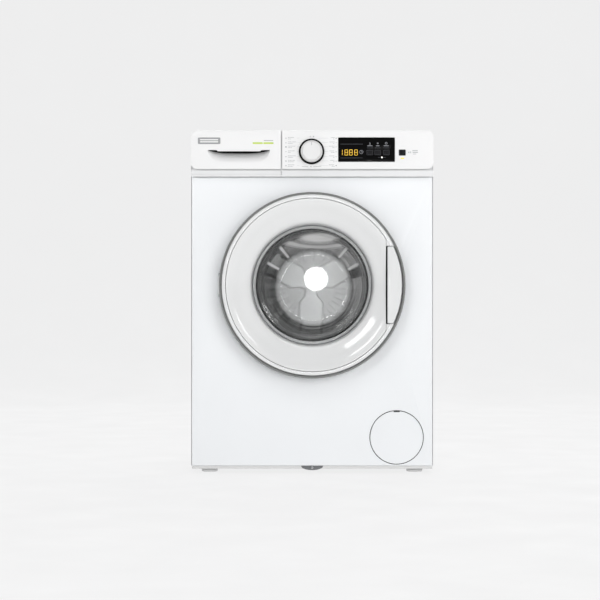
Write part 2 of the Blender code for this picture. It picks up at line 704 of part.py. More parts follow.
def door_frame(parent):
    """The door's structural ring with the hinge knuckle, the handle recess and its pivot posts."""
    profile = [
        (152, -229), (226.6, -229), (226.6, -232), (222, -232), (222, -261.8), (214.5, -263),
        (214.5, -232), (152, -232),
    ]
    ring = turned(profile, (0, AXIS_Z), steps=RING_STEPS)
    recess = handle_recess((-270, -247), 0.8)
    hook_hole = block((HOOK_X - 7, HOOK_X + 12), (-234, -225), (AXIS_Z - 9, AXIS_Z + 9))
    lug_notch = block((-240, HINGE_X + 5.5), (-250, -220), (AXIS_Z - 31, AXIS_Z + 31))
    ring = cut(ring, recess, hook_hole, lug_notch)
    knuckle_zs = (AXIS_Z - LUG_HEIGHT + 3.5, AXIS_Z + LUG_HEIGHT - 3.5)
    knuckle = rod((HINGE_X, HINGE_Y), 3.9, "Z", *knuckle_zs)
    web = block((HINGE_X, HINGE_X + 10), (HINGE_Y - 3, HINGE_Y + 3), knuckle_zs)
    posts = []
    for side in (-1, 1):
        zs = sorted((AXIS_Z + side * 44, AXIS_Z + side * 50))
        posts.append(block((HANDLE_PIVOT_X - 4, HANDLE_PIVOT_X + 4), (HANDLE_PIVOT_Y - 3.5, -231), zs))
    pin_hole = prism(circle((HINGE_X, HINGE_Y), 2.5, 12), "Z", AXIS_Z - 40, AXIS_Z + 40)
    handle_hole = prism(circle((HANDLE_PIVOT_X, HANDLE_PIVOT_Y), 2.3, 12), "Z", AXIS_Z - 60, AXIS_Z + 60)
    piece("door_frame", cut(join(ring, knuckle, web, *posts), pin_hole, handle_hole), WHITE, parent)


def door_front_ring(parent):
    """The white dished cover between the porthole and the rim, trimmed straight beside the handle."""
    profile = [
        (RING_OUTER, -262.4), (206, DOOR_FRONT_Y), (198, -261.5), (184, -251.5), (170, -247.5),
        (158, -248.5), (RING_INNER, -252), (RING_INNER, -243.5), (158, -245), (170, -244),
        (186, -248.5), (200, -258), (RING_OUTER, -259.4),
    ]
    ring = turned(profile, (0, AXIS_Z), steps=RING_STEPS)
    trim = block((180.2, 240), (-270, -220), (AXIS_Z - 130, AXIS_Z + 130))
    piece("door_front_ring", cut(ring, trim), WHITE, parent)


def door_glass(parent):
    """The glass bowl: a clamped flange and a deep dish that reaches into the drum's mouth."""
    profile = [
        (0, -112), (90, -113), (98, -118), (118, -145), (134, -195), (142, -235), (GLASS_RADIUS, -238.5),
        (GLASS_RADIUS, -243), (137, -243), (129, -197), (113, -148), (95, -123), (88, -118), (0, -117),
    ]
    piece("door_glass", turned(profile, (0, AXIS_Z)), GLASS_TINT, parent)


def door_handle(parent):
    """The pull flap with its two pivot lugs. Its left edge swings out."""
    half = HANDLE_HALF - 1.6
    reach = math.degrees(math.asin(half / HANDLE_RADIUS))
    outline = [(HANDLE_LEFT, AXIS_Z - half)]
    outline += arc((0, AXIS_Z), HANDLE_RADIUS, -reach, reach, 10)
    outline += [(HANDLE_LEFT, AXIS_Z + half)]
    flap = prism(outline, "Y", -262.8, -258.8)
    lugs = []
    for side in (-1, 1):
        lug_span = sorted((AXIS_Z + side * 38, AXIS_Z + side * 43.4))
        lugs.append(block((HANDLE_PIVOT_X - 3, HANDLE_PIVOT_X + 3), (-259.5, HANDLE_PIVOT_Y + 3), lug_span))
        pin_span = sorted((AXIS_Z + side * 42, AXIS_Z + side * 49.5))
        lugs.append(rod((HANDLE_PIVOT_X, HANDLE_PIVOT_Y), 1.7, "Z", *pin_span, 10))
    piece("door_handle", join(flap, *lugs), WHITE, parent)


def latch_hook(parent):
    """The hook that reaches through the front panel into the lock, its barb facing right."""
    x, y = HOOK_X, HOOK_Y
    outline = [
        (x - 4, y - 5), (x + 4, y - 5), (x + 4, y), (x + 3, y + 20), (x + 9, y + 22),
        (x + 3, y + 32), (x - 2, y + 32), (x - 3, y),
    ]
    piece("latch_hook", prism(outline, "Z", AXIS_Z - 6, AXIS_Z + 6), ZINC_STEEL, parent)


# ---------------------------------------------------------------- controls, drawer and filter


def program_knob(parent):
    """The program knob: a grip with a wide foot and a shaft through the panel."""
    profile = [
        (0, CONTROL_Y + 9), (3, CONTROL_Y + 9), (3, CONTROL_Y - GAP), (KNOB_RADIUS - 1, CONTROL_Y - GAP),
        (KNOB_RADIUS, CONTROL_Y - 2), (KNOB_RADIUS, CONTROL_Y - 4), (27, CONTROL_Y - 6),
        (25.5, CONTROL_Y - 17), (23, CONTROL_Y - 19), (0, CONTROL_Y - 19),
    ]
    piece("program_knob", turned(profile, (KNOB_X, KNOB_Z), steps=32), WHITE, parent)


def drawer_front(parent):
    """The drawer's fascia with its smile-shaped finger pocket."""
    face = rounded_rectangle(-HALF_WIDTH, DRAWER_RIGHT, DRAWER_BOTTOM, HEIGHT, [0, 0, 0, 15])
    solid = prism(face, "Y", CONTROL_Y, PANEL_Y - GAP)
    behind = block((-HALF_WIDTH + 3, DRAWER_RIGHT - 3), (CONTROL_Y + 6, PANEL_Y + 3),
                   (DRAWER_BOTTOM + 3, HEIGHT - 13))
    plate = cut(solid, behind)
    box = block((POCKET_X[0] - 4, POCKET_X[1] + 4), (CONTROL_Y + 5, TRAY_Y[0] - GAP),
                (POCKET_Z[0] - 4, POCKET_Z[1] + 10))
    middle = sum(POCKET_X) / 2
    half = (POCKET_X[1] - POCKET_X[0]) / 2
    depth = POCKET_Z[1] - 4 - POCKET_Z[0]
    smile = [(middle + half * math.cos(math.radians(t)),
              POCKET_Z[1] - 4 + depth * math.sin(math.radians(t)) ** 3) for t in range(180, 361, 15)]
    mouth = prism(smile, "Y", CONTROL_Y - 3, CONTROL_Y + 8)
    inner = block((POCKET_X[0] + 2, POCKET_X[1] - 2), (CONTROL_Y + 7, TRAY_Y[0] - 3),
                  (POCKET_Z[0], POCKET_Z[1] + 6))
    piece("drawer_front", cut(join(plate, box), join(mouth, inner)), WHITE, parent)


def drawer_tray(parent):
    """The detergent tray with three open compartments."""
    tray = block(TRAY_X, TRAY_Y, TRAY_Z)
    edges = [TRAY_X[0] + TRAY_WALL, *TRAY_DIVIDERS, TRAY_X[1] - TRAY_WALL]
    half_wall = TRAY_WALL / 2
    compartments = [
        block((low + half_wall, high - half_wall), (TRAY_Y[0] + TRAY_WALL, TRAY_Y[1] - TRAY_WALL),
              (TRAY_Z[0] + TRAY_WALL, TRAY_Z[1] + 5))
        for low, high in zip(edges, edges[1:])
    ]
    piece("drawer_tray", cut(tray, *compartments), LIGHT_PLASTIC, parent)


def filter_cover(parent):
    """The round service flap, hinged at its foot, with a finger notch at its top."""
    disc = rod((FILTER_X, FILTER_Z), FILTER_COVER_RADIUS, "Y", FILTER_COVER_FRONT_Y, PANEL_Y + 2, 32)
    top = FILTER_Z + FILTER_COVER_RADIUS
    notch = block((FILTER_X - 9, FILTER_X + 9), (PANEL_Y - 5, PANEL_Y + 5), (top - 4.5, top + 5))
    piece("filter_cover", cut(disc, notch), WHITE, parent)


def filter_cap(parent):
    """The screw cap of the drain filter with its grip bar and lint cage."""
    profile = [
        (0, -217), (26, -217), (28.4, -215), (28.4, -200), (20, -198), (20, -110), (0, -110),
    ]
    grip = block((FILTER_X - 22, FILTER_X + 22), (-222.5, -216), (FILTER_Z - 4, FILTER_Z + 4))
    piece("filter_cap", join(turned(profile, (FILTER_X, FILTER_Z), steps=24), grip), GREY_PLASTIC, parent)


# ---------------------------------------------------------------- assembly


def build_cabinet():
    side_panel("left_side_panel", -1)
    side_panel("right_side_panel", 1)
    front_panel()
    rear_panel()
    rear_access_cover()
    worktop()
    front_crossbar()
    base_frame()
    control_panel()
    display_window()
    control_board()
    drawer_housing()
    inlet_valve()
    drain_outlet()
    cable_gland()
    hinge_bracket()
    door_lock()
    door_gasket()
    drain_pump()
    for name, side in (("left", -1), ("right", 1)):
        damper_cylinder("damper_cylinder_" + name, side)
    for x, side in zip(FOOT_XS, ("left", "right")):
        for y, end in zip(FOOT_YS, ("front", "rear")):
            foot("foot_" + end + "_" + side, x, y)


def build_tub():
    tub = body_empty("tub_suspension", 0, 0, AXIS_Z)
    tub_front_half(tub)
    tub_rear_half(tub)
    counterweight("upper_counterweight", tub, 35, 84, (TUB_RADIUS + 1, 288), (-120, 30))
    counterweight("lower_counterweight", tub, 205, 335, (180, 254), (-178, -153))
    heater_element(tub)
    motor_body(tub)
    drive_belt(tub)
    bearing("front_bearing", tub, 181)
    bearing("rear_bearing", tub, 202)
    for name, side in (("left", -1), ("right", 1)):
        damper_rod("damper_rod_" + name, side, tub)
        suspension_spring("suspension_spring_" + name, side, tub)
    motor_rotor(body_empty("motor_axis", MOTOR_X, 0, MOTOR_Z))


def build_drum():
    drum = body_empty("drum_axis", 0, 0, AXIS_Z)
    drum_shell(drum)
    for index in range(3):
        lifter("lifter_" + str(index + 1), 120 * index - 90, drum)
    drum_spider(drum)
    drum_pulley(drum)


def build_door():
    door = body_empty("door_hinge", HINGE_X, HINGE_Y, AXIS_Z)
    door_rim(door)
    door_frame(door)
    door_front_ring(door)
    door_glass(door)
    door_handle(body_empty("handle_pivot", HANDLE_PIVOT_X, HANDLE_PIVOT_Y, AXIS_Z))
    latch_hook(body_empty("hook_pivot", HOOK_X, HOOK_Y, AXIS_Z))


def build_controls():
    program_knob(body_empty("knob_axis", KNOB_X, CONTROL_Y, KNOB_Z))
    key("start_key", START_KEY_X, START_KEY_Z, START_KEY_HALF)
    for index, x in enumerate(OPTION_KEY_XS):
        key("option_key_" + str(index + 1), x, OPTION_KEY_Z, OPTION_KEY_HALF)
    drawer = body_empty("drawer_slide", 0, CONTROL_Y, 0)
    drawer_front(drawer)
    drawer_tray(drawer)
    filter_cover(body_empty("filter_cover_hinge", FILTER_X, FILTER_COVER_FRONT_Y, FILTER_HINGE_Z))
    filter_cap(body_empty("filter_cap_axis", FILTER_X, -200, FILTER_Z))


def main():
    for obj in list(bpy.data.objects):
        bpy.data.objects.remove(obj)
    build_cabinet()
    build_tub()
    build_drum()
    build_door()
    build_controls()


main()
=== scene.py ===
"""Looks of the front load washing machine: fine shapes, markings and materials round the CAD frame.

Lengths are in millimetres in the same frame as the CAD, and the shape functions turn them into
metres. Every object sits at the origin with its place in its mesh.
"""
import json
import math
import random

import bmesh
import bpy
from mathutils import Matrix, Vector


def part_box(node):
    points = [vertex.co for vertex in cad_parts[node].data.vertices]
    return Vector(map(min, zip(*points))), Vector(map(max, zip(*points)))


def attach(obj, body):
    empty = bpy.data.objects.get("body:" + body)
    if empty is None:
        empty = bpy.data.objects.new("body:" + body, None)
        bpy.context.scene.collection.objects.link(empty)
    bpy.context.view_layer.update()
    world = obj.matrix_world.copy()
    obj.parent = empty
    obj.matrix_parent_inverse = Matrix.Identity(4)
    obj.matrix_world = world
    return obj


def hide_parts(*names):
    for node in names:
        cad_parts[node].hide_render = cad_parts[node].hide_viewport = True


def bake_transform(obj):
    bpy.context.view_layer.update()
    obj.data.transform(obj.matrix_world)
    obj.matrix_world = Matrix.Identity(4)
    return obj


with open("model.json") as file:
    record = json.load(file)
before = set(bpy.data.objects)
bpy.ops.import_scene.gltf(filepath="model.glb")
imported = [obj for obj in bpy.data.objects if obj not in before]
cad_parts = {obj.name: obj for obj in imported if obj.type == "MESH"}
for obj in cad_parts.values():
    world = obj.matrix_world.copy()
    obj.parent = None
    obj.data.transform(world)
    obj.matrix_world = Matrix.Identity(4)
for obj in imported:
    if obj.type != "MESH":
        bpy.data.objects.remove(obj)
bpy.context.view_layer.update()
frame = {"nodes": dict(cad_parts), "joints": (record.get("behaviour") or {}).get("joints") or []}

MM = 0.001


def side_of(node, end, axis):
    """The lowest (0) or highest (1) place of a CAD node along X, Y or Z."""
    return round(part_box(node)[end]["XYZ".index(axis)] / MM, 1)


def middle(node, axes="XZ"):
    """The middle of a CAD node seen across two axes."""
    return tuple(round((side_of(node, 0, axis) + side_of(node, 1, axis)) / 2, 1) for axis in axes)


def pivot(joint):
    """Where a joint's upright axis stands, seen from above."""
    place = next(row["pos_m"] for row in frame["joints"] if row["name"] == joint)
    return tuple(round(value / MM, 1) for value in place[:2])


# Driving places, all from the frame.
HALF_WIDTH = side_of("worktop", 1, "X")
HEIGHT = side_of("worktop", 1, "Z")
PANEL_Y = side_of("front_panel", 0, "Y")
FASCIA_Y = side_of("control_panel", 0, "Y")
REAR_Y = side_of("rear_panel", 1, "Y")
AXIS_Z = middle("drum_shell")[1]
KNOB = middle("program_knob")
DISPLAY = middle("display_window")
START_X, KEY_Z = middle("start_key")
OPTION_XS = [middle("option_key_" + str(number))[0] for number in (1, 2, 3)]
FILTER = middle("filter_cap")
HINGE = pivot("door_swing")
HANDLE_PIVOT = pivot("handle_pull")
HOOK_PIVOT = pivot("hook_swing")
INLET = middle("inlet_valve")
DRAIN = middle("drain_outlet")
MAINS = middle("cable_gland")
FOOT_XS = [middle("foot_front_" + side)[0] for side in ("left", "right")]
FOOT_YS = [middle("foot_" + end + "_left", "XY")[1] for end in ("front", "rear")]
SPRING_X, SPRING_Y = middle("suspension_spring_right", "XY")

# The fascia's own divisions: the seam beside the drawer, the set back strip and the slab above it.
STRIP_Y = -236.2
FASCIA_BACK = -227
SEAM_X = (-77.2, -73.9)
SLAB_BOTTOM = 749.5
SLAB_CORNER = 15.5

# How far right of and below the porthole's middle the bowl's floor lies.
BOWL_SHIFT = (4.6, -5.6)

# Steps round a full turn.
ROUND = 180
DOOR_ROUND = 240
GLASS_ROUND = 200
DRUM_ROUND = 160


# ---------------------------------------------------------------- shape tools

PLACE = {
    "X": lambda a, b, along: Vector((along, a, b)) * MM,
    "Y": lambda a, b, along: Vector((a, along, b)) * MM,
    "Z": lambda a, b, along: Vector((a, b, along)) * MM,
}


def arc(centre, radius, start, end, steps):
    """Points on a circle from one angle to the other, in degrees, both ends included."""
    angles = [math.radians(start + (end - start) * i / steps) for i in range(steps + 1)]
    return [(centre[0] + radius * math.cos(t), centre[1] + radius * math.sin(t)) for t in angles]


def circle(centre, radius, steps=48):
    """Points round a whole circle, each once."""
    return arc(centre, radius, 0, 360 * (steps - 1) / steps, steps - 1)


def rounded(low_a, high_a, low_b, high_b, radii, steps=8):
    """A rectangle with rounded corners, from the low-low corner anticlockwise."""
    if not isinstance(radii, (list, tuple)):
        radii = [radii] * 4
    corners = [(low_a, low_b, 1, 1, 180), (high_a, low_b, -1, 1, 270),
               (high_a, high_b, -1, -1, 0), (low_a, high_b, 1, -1, 90)]
    outline = []
    for (a, b, side_a, side_b, start), radius in zip(corners, radii):
        centre = (a + side_a * radius, b + side_b * radius)
        outline += arc(centre, radius, start, start + 90, steps) if radius else [(a, b)]
    return outline


def smooth_path(points, steps=6):
    """A smooth curve through all the points, as Catmull and Rom define it."""
    ends = [points[0], *points, points[-1]]
    path = []
    for p0, p1, p2, p3 in zip(ends, ends[1:], ends[2:], ends[3:]):
        for i in range(steps):
            t = i / steps
            path.append(tuple(
                0.5 * (2 * b + (c - a) * t + (2 * a - 5 * b + 4 * c - d) * t ** 2
                       + (3 * b - a - 3 * c + d) * t ** 3)
                for a, b, c, d in zip(p0, p1, p2, p3)
            ))
    return [*path, points[-1]]


def facing_out(bm):
    """The shape with every face turned outward."""
    bmesh.ops.recalc_face_normals(bm, faces=bm.faces)
    return bm


def prism(outline, axis, low, high):
    """A closed solid with this outline across the axis, from low to high along it."""
    bm = bmesh.new()
    place = PLACE[axis]
    face = bm.faces.new([bm.verts.new(place(a, b, low)) for a, b in outline])
    grown = bmesh.ops.extrude_face_region(bm, geom=[face])
    moved = [item for item in grown["geom"] if isinstance(item, bmesh.types.BMVert)]
    bmesh.ops.translate(bm, verts=moved, vec=place(0, 0, high - low))
    return facing_out(bm)


def block(xs, ys, zs):
    return prism([(xs[0], ys[0]), (xs[1], ys[0]), (xs[1], ys[1]), (xs[0], ys[1])], "Z", *zs)


def plate(xs, zs, ys, radii, steps=8):
    """An upright plate with rounded corners, ys thick."""
    return prism(rounded(*xs, *zs, radii, steps), "Y", *ys)


def about(place, half):
    """The span of this half width on both sides of a place."""
    return (place - half, place + half)


def lathe(profile, centre=(0, AXIS_Z), axis="Y", steps=ROUND):
    """A solid of revolution from (radius, along) points, closed unless its ends are on the axis."""
    bm = bmesh.new()
    place = PLACE[axis]
    verts = [bm.verts.new(place(centre[0] + r, centre[1], along)) for r, along in profile]
    pairs = list(zip(verts, verts[1:]))
    if profile[0][0] or profile[-1][0]:
        pairs.append((verts[-1], verts[0]))
    edges = [bm.edges.new(pair) for pair in pairs]
    bmesh.ops.spin(bm, geom=verts + edges, cent=place(*centre, 0), axis=place(0, 0, 1).normalized(),
                   angle=math.tau, steps=steps, use_merge=True)
    bmesh.ops.remove_doubles(bm, verts=bm.verts, dist=0.001 * MM)
    return facing_out(bm)


def tube(inner, outer, low, high, centre, axis="Y", steps=64):
    """A ring or tube between two radii, from low to high along its axis."""
    return lathe([(inner, low), (outer, low), (outer, high), (inner, high)], centre, axis, steps)


def rod(radius, low, high, centre, axis="Y", steps=24):
    """A round bar from low to high along its axis."""
    return lathe([(0, low), (radius, low), (radius, high), (0, high)], centre, axis, steps)


def scratch(bm):
    mesh = bpy.data.meshes.new("scratch")
    bm.to_mesh(mesh)
    bm.free()
    obj = bpy.data.objects.new("scratch", mesh)
    bpy.context.scene.collection.objects.link(obj)
    return obj


def evaluated(obj, *others):
    """The object's shape with its modifiers applied, as a bmesh. The scratch objects are removed."""
    bpy.context.view_layer.update()
    graph = bpy.context.evaluated_depsgraph_get()
    mesh = bpy.data.meshes.new_from_object(obj.evaluated_get(graph))
    result = bmesh.new()
    result.from_mesh(mesh)
    bpy.data.meshes.remove(mesh)
    for used in (obj, *others):
        bpy.data.objects.remove(used)
    return result


def boolean(base, tools, operation):
    body = scratch(base)
    cutters = [scratch(tool) for tool in tools]
    for cutter in cutters:
        modifier = body.modifiers.new("boolean", "BOOLEAN")
        modifier.operation = operation
        modifier.object = cutter
    return evaluated(body, *cutters)


def cut(base, *tools):
    return boolean(base, tools, "DIFFERENCE")


def join(base, *tools):
    return boolean(base, tools, "UNION")


def together(*shapes):
    """Several shapes as one bmesh, each still a body of its own."""
    result = bmesh.new()
    for shape in shapes:
        mesh = bpy.data.meshes.new("scratch")
        shape.to_mesh(mesh)
        shape.free()
        result.from_mesh(mesh)
        bpy.data.meshes.remove(mesh)
    return result


def softened(bm, width, segments=3, angle=35):
    """The shape with its sharp edges rounded by the bevel width."""
    body = scratch(bm)
    modifier = body.modifiers.new("bevel", "BEVEL")
    modifier.width = width * MM
    modifier.segments = segments
    modifier.limit_method = "ANGLE"
    modifier.angle_limit = math.radians(angle)
    modifier.use_clamp_overlap = True
    return evaluated(body)


def sheet_between(bm, layers):
    """A closed sheet whose two sides are grids of vertices, with faces along their rims."""
    for rows in layers:
        for row, following in zip(rows, rows[1:]):
            for i in range(len(row) - 1):
                bm.faces.new((row[i], row[i + 1], following[i + 1], following[i]))
    rims = []
    for rows in layers:
        rims.append(rows[0] + [row[-1] for row in rows[1:]] + rows[-1][-2::-1]
                    + [row[0] for row in rows[-2:0:-1]])
    for i, corner in enumerate(rims[0]):
        bm.faces.new((rims[0][i - 1], corner, rims[1][i], rims[1][i - 1]))
    return facing_out(bm)


def skin_between(bm, rows):
    """Faces between rows of vertices that each run in a closed loop."""
    for row, following in zip(rows, rows[1:]):
        for i in range(len(row)):
            n = (i + 1) % len(row)
            bm.faces.new((row[i], row[n], following[n], following[i]))


def pressed_sheet(axis, spans, surface, thickness, lift, step):
    """A sheet over a grid. The lift function presses it in or out at each pair of coordinates."""
    bm = bmesh.new()
    place = PLACE[axis]
    ticks = []
    for low, high in spans:
        count = max(2, round((high - low) / step))
        ticks.append([low + (high - low) * i / count for i in range(count + 1)])
    layers = []
    for offset in (0, thickness):
        layers.append([[bm.verts.new(place(a, b, surface + offset + lift(a, b))) for b in ticks[1]]
                       for a in ticks[0]])
    return sheet_between(bm, layers)


def eased(value):
    """A smooth step from nought to one."""
    value = min(1.0, max(0.0, value))
    return value * value * (3 - 2 * value)


def inside_rounded(a, b, box, corner):
    """How far a point lies inside a rectangle with rounded corners. It is negative outside."""
    low_a, high_a, low_b, high_b = box
    over_a = abs(a - (low_a + high_a) / 2) - ((high_a - low_a) / 2 - corner)
    over_b = abs(b - (low_b + high_b) / 2) - ((high_b - low_b) / 2 - corner)
    outside = math.hypot(max(over_a, 0), max(over_b, 0)) + min(max(over_a, over_b), 0)
    return corner - outside


def helix(x, y, low, high, radius, wire, turns, per_turn=24):
    """A wire wound round a vertical line."""
    count = turns * per_turn
    points = []
    for i in range(count + 1):
        turn = math.tau * i / per_turn
        height = low + (high - low) * i / count
        points.append((x + radius * math.cos(turn), y + radius * math.sin(turn), height))
    return wire_along(points, wire)


def wire_along(points, wire):
    """An eight-sided wire of this radius through the points, closed at both ends."""
    curve = bpy.data.curves.new("scratch", "CURVE")
    curve.dimensions = "3D"
    curve.bevel_depth = wire * MM
    curve.bevel_resolution = 2
    curve.use_fill_caps = True
    spline = curve.splines.new("POLY")
    spline.points.add(len(points) - 1)
    for point, place in zip(spline.points, points):
        point.co = (*(value * MM for value in place), 1)
    obj = bpy.data.objects.new("scratch", curve)
    bpy.context.scene.collection.objects.link(obj)
    return facing_out(evaluated(obj))


def piece(name, bm, look, body="cabinet", stands_for=(), smooth=35):
    """One visible piece: its mesh, its material, the body that it moves with and what it replaces."""
    mesh = bpy.data.meshes.new(name)
    bm.to_mesh(mesh)
    bm.free()
    mesh.shade_smooth()
    mesh.set_sharp_from_angle(angle=math.radians(smooth))
    mesh.materials.append(look)
    obj = bpy.data.objects.new(name, mesh)
    bpy.context.scene.collection.objects.link(obj)
    if body:
        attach(obj, body)
    if stands_for:
        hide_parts(*stands_for)
    return obj


# ---------------------------------------------------------------- materials


class Shader:
    """A material's node tree with short ways to add and join nodes."""

    def __init__(self, name):
        self.material = bpy.data.materials.new(name)
        self.material.use_nodes = True
        self.nodes = self.material.node_tree.nodes
        self.links = self.material.node_tree.links
        self.main = self.nodes["Principled BSDF"]
        self.output = self.nodes["Material Output"]
        self.coordinates = self.add("ShaderNodeTexCoord").outputs["Object"]

    def add(self, kind, **values):
        """A new node. Values that are sockets are linked, and the others are set on its inputs."""
        node = self.nodes.new(kind)
        for key, value in values.items():
            self.give(node.inputs[key.replace("_", " ")], value)
        return node

    def give(self, socket, value):
        if isinstance(value, bpy.types.NodeSocket):
            self.links.new(value, socket)
        else:
            socket.default_value = value

    def set(self, key, value):
        """Sets or links one input of the surface itself."""
        self.give(self.main.inputs[key], value)

    def stretched(self, scale):
        return self.add("ShaderNodeMapping", Vector=self.coordinates, Scale=scale).outputs["Vector"]

    def noise(self, scale, detail=3.0, stretch=(1, 1, 1)):
        """Noise of this many features in a metre."""
        vector = self.stretched(stretch)
        return self.add("ShaderNodeTexNoise", Vector=vector, Scale=scale, Detail=detail).outputs["Fac"]

    def cells(self, scale, output="Color"):
        return self.add("ShaderNodeTexVoronoi", Vector=self.coordinates, Scale=scale).outputs[output]

    def between(self, factor, low, high):
        """A value from low to high as the factor goes from a quarter to three quarters."""
        node = self.add("ShaderNodeMapRange", Value=factor, From_Min=0.25, From_Max=0.75)
        node.inputs["To Min"].default_value = low
        node.inputs["To Max"].default_value = high
        return node.outputs["Result"]

    def mixed(self, factor, first, second):
        """A colour between two colours."""
        node = self.add("ShaderNodeMix")
        node.data_type = "RGBA"
        self.give(node.inputs["Factor"], factor)
        colour_inputs = [socket for socket in node.inputs if socket.type == "RGBA"]
        for socket, colour in zip(colour_inputs, (first, second)):
            self.give(socket, colour if isinstance(colour, bpy.types.NodeSocket) else (*colour, 1))
        return [socket for socket in node.outputs if socket.type == "RGBA"][0]

    def maths(self, operation, first, second=0.0):
        """One arithmetic step on two values."""
        node = self.add("ShaderNodeMath")
        node.operation = operation
        for socket, value in zip(node.inputs, (first, second)):
            self.give(socket, value)
        return node.outputs["Value"]

    def times(self, first, second):
        return self.maths("MULTIPLY", first, second)

    def plus(self, first, second):
        return self.maths("ADD", first, second)

    def minus(self, first, second):
        return self.maths("SUBTRACT", first, second)

    def away(self, value, mark):
        """How far a value is from a mark, on either side."""
        return self.maths("ABSOLUTE", self.minus(value, mark))

    def ramp(self, value, start, end, low=0.0, high=1.0):
        """A value that goes from low to high as the given value goes from start to end."""
        node = self.add("ShaderNodeMapRange", Value=value, From_Min=start, From_Max=end,
                        To_Min=low, To_Max=high)
        node.interpolation_type = "SMOOTHSTEP"
        return node.outputs["Result"]

    def fall(self, value, start, end):
        """One before the start, nought after the end."""
        return self.ramp(value, start, end, 1.0, 0.0)

    def within(self, value, rise, fall):
        """One between two edges, each given as the start and end of its slope."""
        return self.times(self.ramp(value, *rise), self.fall(value, *fall))

    def raised(self, height, strength, depth):
        """Bump from a height, given how deep the relief is in millimetres."""
        node = self.add("ShaderNodeBump", Height=height, Strength=strength, Distance=depth * MM)
        self.links.new(node.outputs["Normal"], self.main.inputs["Normal"])
        return node


def grey(value):
    return (value, value, value)


def toned(colour, factor):
    return [min(1.0, channel * factor) for channel in colour]


def finish(name, colour, roughness, metal=0.0, tone=0.03, patches=14.0, grain=700.0, relief=0.03,
           stretch=(1, 1, 1), coat=0.0, uneven=0.15):
    """A surface whose colour and gloss drift a little over it, with a fine grain in relief."""
    shader = Shader(name)
    drift = shader.between(shader.noise(patches, 4.0, stretch), 0, 1)
    shader.set("Base Color", shader.mixed(drift, toned(colour, 1 - tone), toned(colour, 1 + tone)))
    smudges = shader.noise(patches * 3.1, 5.0, stretch)
    gloss = shader.between(smudges, roughness * (1 - uneven), roughness * (1 + uneven))
    shader.set("Roughness", gloss)
    shader.set("Metallic", metal)
    shader.set("Coat Weight", coat)
    shader.set("Coat Roughness", 0.08)
    shader.raised(shader.noise(grain, 2.0, stretch), 0.5, relief)
    return shader


def spangled(name, colour, roughness):
    """Zinc coated sheet: pale crystals with different greys and gloss."""
    shader = finish(name, colour, roughness, metal=1.0, tone=0.06, relief=0.02)
    crystals = shader.add("ShaderNodeSeparateColor", Color=shader.cells(150.0)).outputs["Red"]
    shader.set("Base Color", shader.mixed(crystals, toned(colour, 0.9), toned(colour, 1.06)))
    shader.set("Roughness", shader.between(crystals, roughness * 0.9, roughness * 1.12))
    return shader


def speckled(name, colour, roughness, grit, contrast, relief, metal=0.0):
    """A cast surface with grit in it."""
    shader = finish(name, colour, roughness, metal, tone=0.08, relief=relief, grain=grit)
    grains = shader.between(shader.noise(grit, 6.0), 0, 1)
    dark, light = toned(colour, 1 - contrast), toned(colour, 1 + contrast)
    shader.set("Base Color", shader.mixed(grains, dark, light))
    return shader


def drum_steel(name, colour, roughness, holes, depths):
    """Pressed steel with painted shade: darker in its deep parts and over the band of punched holes between
    two radii in metres, with the holes painted near black.

    The depths are where along the drum's axis the pressing is deepest and highest.
    """
    shader = finish(name, colour, roughness, metal=1.0, tone=0.05, grain=1300, relief=0.02)
    centred = shader.add("ShaderNodeMapping", Vector=shader.coordinates,
                         Location=(0, 0, -AXIS_Z * MM), Scale=(1, 0, 1)).outputs["Vector"]
    reach = shader.add("ShaderNodeVectorMath", Vector=centred)
    reach.operation = "LENGTH"
    radius = reach.outputs["Value"]
    edge = 0.002
    ring = shader.within(radius, (holes[0], holes[0] + edge), (holes[1], holes[1] + edge))
    spacing = shader.add("ShaderNodeTexVoronoi", Vector=centred, Scale=190.0,
                         Randomness=0.1).outputs["Distance"]
    punched = shader.times(ring, shader.fall(spacing, 0.28, 0.36))
    # Painted shade: the pressing is painted darker the deeper it lies, the band of holes darker still, and
    # each hole near black.
    height = shader.add("ShaderNodeSeparateXYZ", Vector=shader.coordinates).outputs["Y"]
    plain = shader.main.inputs["Base Color"].links[0].from_socket
    pressed = shader.mixed(shader.ramp(height, *depths), toned(colour, 0.46), plain)
    band_shaded = shader.mixed(ring, pressed, toned(colour, 0.4))
    shader.set("Base Color", shader.mixed(punched, band_shaded, grey(0.012)))
    return shader


def glowing(name, colour, strength):
    """A lamp segment behind a dark window, its glow uneven in patches."""
    shader = finish(name, colour, 0.3, tone=0.05)
    patches = shader.between(shader.noise(260.0), 0.75, 1.0)
    shader.set("Emission Color", shader.mixed(patches, toned(colour, 0.7), colour))
    shader.set("Emission Strength", strength)
    return shader


class BowlPlaces:
    """Where a point of the bowl's glass lies, in metres, and how far it is on the floor or wall."""

    def __init__(self, shader):
        places = shader.add("ShaderNodeSeparateXYZ", Vector=shader.coordinates).outputs
        self.along = places["Y"]
        self.across = shader.minus(places["X"], BOWL_SHIFT[0] * MM)
        self.up = shader.minus(places["Z"], (AXIS_Z + BOWL_SHIFT[1]) * MM)
        self.slant = shader.plus(self.across, self.up)
        self.turn = shader.maths("ARCTAN2", self.up, shader.maths("ABSOLUTE", self.across))
        self.floor = shader.ramp(self.along, -0.126, -0.1185)
        self.wall = shader.within(self.along, (-0.205, -0.190), (-0.130, -0.124))


